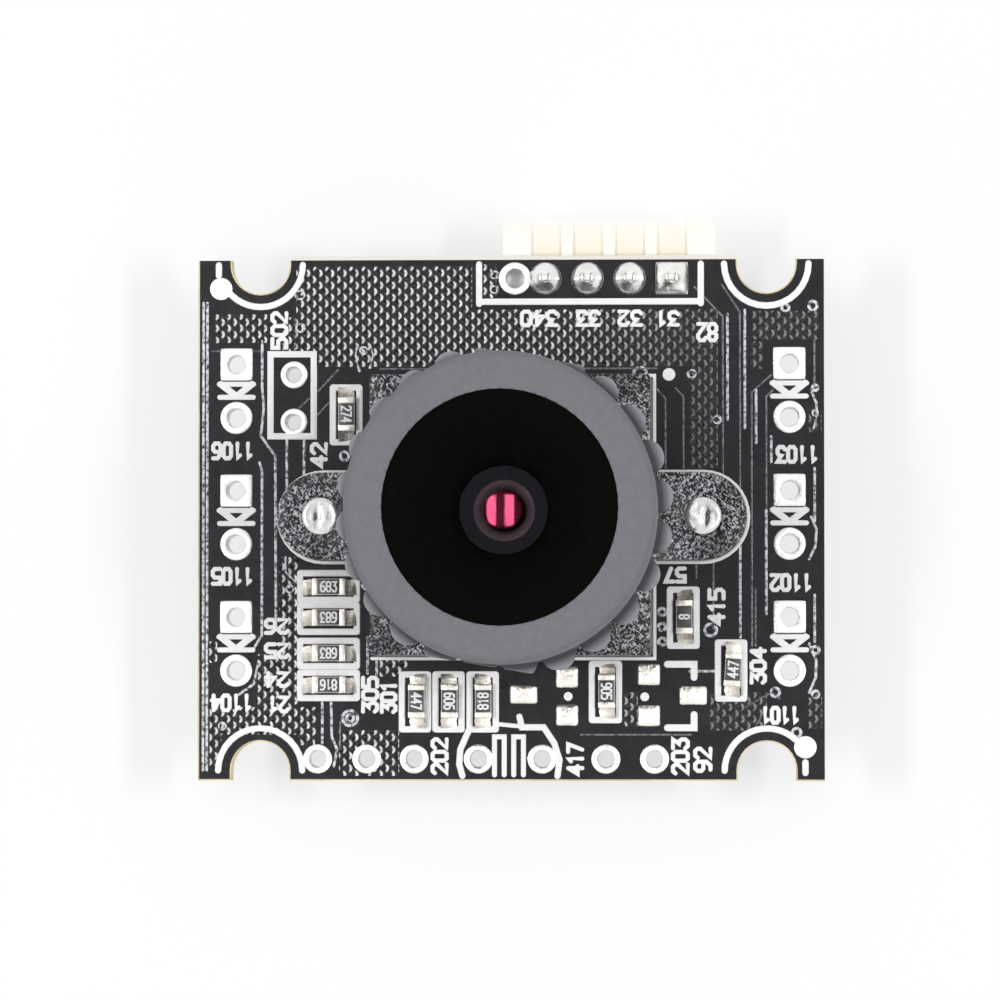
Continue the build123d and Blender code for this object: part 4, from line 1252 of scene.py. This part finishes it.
class CAMERABOARD_OT_barrel(Dressing, bpy.types.Operator):
    """Makes the lens barrel with its scalloped grip ring, thread, hood and light cone"""
    bl_idname = "cameraboard.barrel"
    bl_label = "Lens barrel"

    # Points round the grip ring, room round the glasses, and the rounding of the hood's mouth
    columns = 480
    glass_play = 0.03
    lip, lip_edge = 0.12, 0.03

    def make(self, board, lens, studio):
        low, high = box_mm("lens_barrel")
        front = high[2]
        seat = low[2] + lens.barrel_below / MM
        # The grey of this moulding is painted sheen; the real moulding is black.
        matte = plastic_finish("Matte lens moulding", tuple(lens.barrel_painted_sheen), 0.5, 0.7, 0.06, 0.006,
                               0.06, Specular_IOR_Level=0.3)
        black = plastic_finish("Blackened cone", tuple(lens.cone_colour), 0.6, 0.85, 0.1, 0.004, 0.3,
                               Specular_IOR_Level=0.06)
        shape = Shape()
        self.grip(shape, lens, seat)
        self.hood(shape, lens, seat, front)
        bore = box_mm("rear_glass")[1][0] + self.glass_play
        self.cone(shape, lens, front, bore, low[2])
        self.body(shape, lens, low[2], seat, bore)
        finishes = [matte, black, grip_finish(lens)]
        shape.piece("barrel_moulding", LENS, finishes, "lens_plastic", 40, ["lens_barrel"])

    def reach(self, lens, turn):
        """Radius of the scalloped outline at one angle."""
        pitch = 2 * math.pi / 24
        off = (turn - lens.scallop_phase + pitch / 2) % pitch - pitch / 2
        centre, bump, root = lens.scallop_circle / MM, lens.scallop_radius / MM, lens.scallop_root / MM
        across = centre * math.sin(off)
        outer = centre * math.cos(off) + math.sqrt(max(bump ** 2 - across ** 2, 0.0))
        radius = outer if abs(across) < bump and outer > root else root
        flat = lens.flat_distance / MM / max(abs(math.cos(turn - lens.flat_turn)), 1e-6)
        return min(radius, flat)

    def grip(self, shape, lens, seat):
        edge, top = lens.ring_edge / MM, seat + lens.ring_height / MM
        profile = [(-1.15, seat), (-edge, seat), (-edge * 0.3, seat + edge * 0.3), (0, seat + edge),
                   (0, top - edge), (-edge * 0.3, top - edge * 0.3), (-edge, top)]
        turns = [2 * math.pi * k / self.columns for k in range(self.columns)]
        reaches = [self.reach(lens, t) for t in turns]
        rows = [[((reach + inset) * math.cos(t), (reach + inset) * math.sin(t), z)
                 for reach, t in zip(reaches, turns)] for inset, z in profile]
        rows.append(circle(lens.hood_radius / MM - 0.03, top, self.columns))
        shape.grid(rows, 2, closed=True)

    def hood(self, shape, lens, seat, front):
        radius, rounding = lens.hood_radius / MM, lens.hood_round / MM
        top = seat + lens.ring_height / MM
        outline = [(radius, top - 0.01), (radius, top + 0.4), (radius, front - rounding)]
        for k in range(1, 9):
            t = math.pi / 2 * k / 8
            outline.append((radius - rounding * (1 - math.cos(t)), front - rounding * (1 - math.sin(t))))
        mouth = lens.mouth_radius / MM
        outline += [(radius - 1.0, front), (mouth + self.lip, front)]
        outline.append((mouth + self.lip_edge, front - self.lip_edge))
        lathe(shape, outline, 192)

    def cone(self, shape, lens, front, bore, rear):
        """Light cone, the aperture's edge and the stepped bore behind it."""
        mouth, opening = lens.mouth_radius / MM, lens.aperture_radius / MM
        depth, lip = lens.cone_depth / MM, self.lip
        outline = [(mouth + self.lip_edge, front - self.lip_edge), (mouth, front - lip)]
        outline += [(mouth + (opening - mouth) * k / 8, front - lip - (depth - lip) * k / 8)
                    for k in range(1, 9)]
        shoulder, step = front - depth - 0.2, box_mm("glass_spacer")[1][2]
        upper = box_mm("middle_glass")[1][0] + self.glass_play
        outline += [(opening, shoulder), (upper, shoulder), (upper, step), (bore, step), (bore, rear)]
        lathe(shape, outline, 128, finish=1)

    def body(self, shape, lens, rear, seat, bore):
        """Relief under the ring and the helical thread below it."""
        pitch, depth, radius = lens.thread_pitch / MM, lens.thread_depth / MM, lens.thread_radius / MM
        relief = seat - 0.5
        columns, steps = 96, int((relief - rear) / pitch * 8)
        turns = [2 * math.pi * k / columns for k in range(columns)]
        rows = []
        for i in range(steps + 1):
            z = rear + (relief - rear) * i / steps
            fade = min(1.0, (z - rear) / 0.35, (relief - z) / 0.1 + 0.05)
            row = []
            for t in turns:
                phase = (z / pitch - t / (2 * math.pi)) % 1.0
                cut = depth * min(1.0, 1.35 * (1 - abs(2 * phase - 1)))
                r = radius - depth + (depth - cut) * max(fade, 0)
                row.append((r * math.cos(t), r * math.sin(t), z))
            rows.append(row)
        neck = radius - 0.35
        shape.grid([circle(bore, rear, columns)] + rows
                   + [circle(neck, relief, columns), circle(neck, seat, columns)], 0, closed=True)


class CAMERABOARD_OT_glass(Dressing, bpy.types.Operator):
    """Makes the coated front glass and finishes the pieces behind it"""
    bl_idname = "cameraboard.glass"
    bl_label = "Glasses"

    def make(self, board, lens, studio):
        coated, dark = glass_finish(lens), dark_glass_finish()
        black = plastic_finish("Blackened ring", (0.0014, 0.0012, 0.0014), 0.7, 0.9, 0.1, 0.0005, 0.2,
                               Specular_IOR_Level=0.0)
        front = self.front_glass(lens, [coated, clear_finish()])
        self.mirrored_bars(front, studio)
        # The middle and rear glasses are painted dark as shade.
        for node in ("middle_glass", "rear_glass"):
            assign(node, dark)
        assign("sensor_glass", coated)
        for node in ("aperture_ring", "glass_spacer", "clamp_ring"):
            assign(node, black)
        filter_coat = Finish("Filter glass", (0.55, 0.75, 0.78), 0.05, IOR=1.5, Transmission_Weight=1.0)
        filter_coat.colours(filter_coat.noise(2.0), (0.5, 0.72, 0.76), (0.6, 0.78, 0.8))
        assign("filter_plate", filter_coat.material)
        die = plastic_finish("Sensor die", (0.05, 0.05, 0.08), 0.12, 0.25, 0.15, 0.003, 0.4)
        assign("image_sensor", die)

    def front_glass(self, lens, materials):
        """The front glass with smooth round faces."""
        low, high = box_mm("front_glass")
        radius, clear = high[0], lens.aperture_radius / MM - 0.03
        crest, flange, hollow = high[2], high[2] - 0.15, 0.1
        shape = Shape()
        steps = [k / 14 for k in range(1, 15)]
        dome = [(0.001, crest)] + [(clear * s, crest - (crest - flange) * s * s) for s in steps]
        rim = [(clear, flange), (radius, flange), (radius, low[2]), (clear, low[2])]
        back = [(clear * s, low[2] + hollow * (1 - s * s)) for s in reversed(steps)]
        lathe(shape, dome, 96)
        lathe(shape, rim + back + [(0.001, low[2] + hollow)], 96, finish=1)
        return shape.piece("coated_front_glass", GLASSES, materials, "coated_glass", 40, ["front_glass"])

    def mirrored_bars(self, glass, studio):
        """Two strip lights that only light the front glass, which mirrors them as bars."""
        only = bpy.data.collections.new("front_glass_only")
        only.objects.link(glass)
        for place in ((-0.0312, 0.007, 0.26), (0.0008, 0.007, 0.26)):
            lamp = strip_light("bar_light", place, studio.bar_width, studio.bar_height,
                               studio.bar_radiance)
            lamp.light_linking.receiver_collection = only


class CAMERABOARD_OT_socket(Dressing, bpy.types.Operator):
    """Finishes the wire socket, its pins and their solder"""
    bl_idname = "cameraboard.socket"
    bl_label = "Wire socket"

    def make(self, board, lens, studio):
        softened("socket_housing", "nylon_housing", 0.08, nylon_finish())
        pin = metal_finish("Tinned pin", (0.93, 0.92, 0.87), 0.25, 0.4, 0.02)
        shape = Shape()
        squares = [(x, y) for x, y, width, square in plated_places() if square]
        for k in range(1, 5):
            node = f"socket_pin_{k}"
            assign(node, pin)
            x, y, _, _ = footprint(box_mm(node))
            square = any(math.hypot(x - px, y - py) < 0.1 for px, py in squares)
            self.joint(shape, x, y, box_mm(node)[1][2], 10 if square else 2)
        solder = metal_finish("Solder dome", (0.96, 0.95, 0.93), 0.3, 0.6, 0.05, 0.8)
        shape.piece("solder_domes", BOARD, [solder], "solder", 60, ["solder_joints"])

    def joint(self, shape, x, y, top, power):
        """Solder that flows from the land's edge up to the pin, with a collar round it."""
        foot = top - 0.95
        profile = ((0.76, 0.0), (0.745, 0.12), (0.7, 0.24), (0.62, 0.35), (0.52, 0.44), (0.42, 0.52),
                   (0.34, 0.6), (0.29, 0.68), (0.25, 0.72), (0.2, 0.72), (0.1, 0.7))
        rows = [ring(x, y, reach, reach, foot + rise, 2 + (power - 2) * max(0, reach - 0.4) / 0.36)
                for reach, rise in profile]
        shape.grid(rows, closed=True)


class CAMERABOARD_OT_rear(Dressing, bpy.types.Operator):
    """Dresses the chips, leads and small parts of the rear side"""
    bl_idname = "cameraboard.rear"
    bl_label = "Rear parts"

    edge_height, via_height = 0.016, 0.012

    def make(self, board, lens, studio):
        resin = plastic_finish("Chip resin", (0.03, 0.03, 0.031), 0.45, 0.65, 0.12, 0.01, 0.25)
        for node in ("controller_chip", "memory_chip", "regulator_1", "regulator_2"):
            chip = softened(node, node + "_body", 0.05, resin, segments=2)
            chip.modifiers.new("Merged points", "WELD").merge_threshold = 0.001 * MM
        leads = metal_finish("Tinned lead", (0.8, 0.8, 0.78), 0.25, 0.3, 0.01)
        for node in ("controller_leads", "memory_leads", "regulator_leads"):
            assign(node, leads)
        solder = metal_finish("Rear solder", (0.82, 0.82, 0.8), 0.2, 0.4, 0.03, 0.7)
        for node in ("rear_chip_solder", "sensor_balls"):
            assign(node, solder)
        assign("crystal", metal_finish("Plated crystal lid", (0.75, 0.7, 0.58), 0.3, 0.8, 0.01))
        tan = plastic_finish("Tan ceramic", (0.5, 0.36, 0.22), 0.4, 0.6, 0.1, 0.005, 0.15)
        assign("rear_capacitors", tan)
        coat = plastic_finish("Rear overcoat", (0.05, 0.05, 0.05), 0.3, 0.5, 0.1, 0.005)
        assign("rear_resistors", coat)
        self.copper(board)
        self.marks(board)

    def copper(self, board):
        """Copper edges, vias and hatched copper that show through the rear mask."""
        low = -board.mask_height / MM
        edges = Shape()
        for path in REAR_EDGES:
            ribbon(edges, path, board.trace_width / MM, low, low - self.edge_height, 0.04)
        for x, y in REAR_VIAS:
            via(edges, x, y, 0.2, low, low - self.via_height)
        edges.piece("rear_copper_edges", BOARD, [trace_finish(board, 0.3)], "board_mask", facing=-1)
        hatched_sheets("rear_hatched_copper", REAR_HATCHED_ZONES, low - HATCH_HEIGHT,
                       land_openings(front=False), hatch_finish(board))

    def marks(self, board):
        """White outlines and plain numbers round the rear parts, the numbers read from behind."""
        low = -board.mask_height / MM
        high = low - board.ink_height / MM
        shape = Shape()
        for node in ("rear_capacitors", "rear_resistors"):
            for points in islands(node):
                _, _, wide, tall = footprint(points)
                self.frame(shape, points, *((0.37, 0.7) if tall > wide else (0.7, 0.37)), low, high)
        self.frame(shape, box_mm("crystal"), 0.3, 0.3, low, high)
        (left, bottom, _), (right, top, _) = box_mm("controller_chip")
        for x, sx in ((left - 0.15, 1), (right + 0.15, -1)):
            for y, sy in ((bottom - 0.15, 1), (top + 0.15, -1)):
                ribbon(shape, [(x + sx * 0.5, y), (x, y), (x, y + sy * 0.5)], REAR_LINE, low, high)
        (left, bottom, _), (right, top, _) = box_mm("memory_chip")
        for x in (left - 0.25, right + 0.25):
            ribbon(shape, [(x, bottom), (x, top)], REAR_LINE, low, high)
        for side in (-1, 1):
            ribbon(shape, flat_circle(side * SCREW_PLACE, 0, 1.7, 48), REAR_LINE, low, high, closed=True)
        front = len(shape.points)
        for text, x, y in REAR_LABELS:
            number(shape, text, -x, y, 0.6 * len(text), 0.8, 0, REAR_LINE, low, high)
        shape.points[front:] = [(-x, y, z) for x, y, z in shape.points[front:]]
        shape.piece("rear_white_print", BOARD, [ink_finish(board)], "board_mask", facing=-1)

    def frame(self, shape, points, beside, above, low, high):
        """A printed box round a part, that far beside and above it."""
        x, y, wide, tall = footprint(points)
        box = rectangle_path(x, y, 2 * (wide + beside), 2 * (tall + above))
        ribbon(shape, box, REAR_LINE, low, high, closed=True)


OPERATORS = (
    CAMERABOARD_OT_stage, CAMERABOARD_OT_board, CAMERABOARD_OT_traces, CAMERABOARD_OT_print,
    CAMERABOARD_OT_lands, CAMERABOARD_OT_resistors, CAMERABOARD_OT_holder, CAMERABOARD_OT_barrel,
    CAMERABOARD_OT_glass, CAMERABOARD_OT_socket, CAMERABOARD_OT_rear,
)


class CAMERABOARD_PT_dressing(bpy.types.Panel):
    """Lists the steps that dress the camera board"""
    bl_label = "Camera board"
    bl_idname = "CAMERABOARD_PT_dressing"
    bl_space_type = "VIEW_3D"
    bl_region_type = "UI"
    bl_category = "Camera board"

    def draw(self, context):
        for operator in OPERATORS:
            self.layout.operator(operator.bl_idname, text=operator.bl_label)
        for group in ("board_settings", "lens_settings", "studio_settings"):
            box = self.layout.box()
            settings = getattr(context.scene, group)
            for name in settings.__annotations__:
                box.prop(settings, name)


SETTINGS = (("board_settings", BoardSettings), ("lens_settings", LensSettings),
            ("studio_settings", StudioSettings))


def register():
    for name, group in SETTINGS:
        bpy.utils.register_class(group)
        setattr(bpy.types.Scene, name, bpy.props.PointerProperty(type=group))
    for entry in (*OPERATORS, CAMERABOARD_PT_dressing):
        bpy.utils.register_class(entry)


def unregister():
    for entry in (CAMERABOARD_PT_dressing, *reversed(OPERATORS)):
        bpy.utils.unregister_class(entry)
    for name, group in reversed(SETTINGS):
        delattr(bpy.types.Scene, name)
        bpy.utils.unregister_class(group)


def main():
    register()
    for operator in OPERATORS:
        group, name = operator.bl_idname.split(".")
        getattr(getattr(bpy.ops, group), name)()


if __name__ == "__main__":
    main()
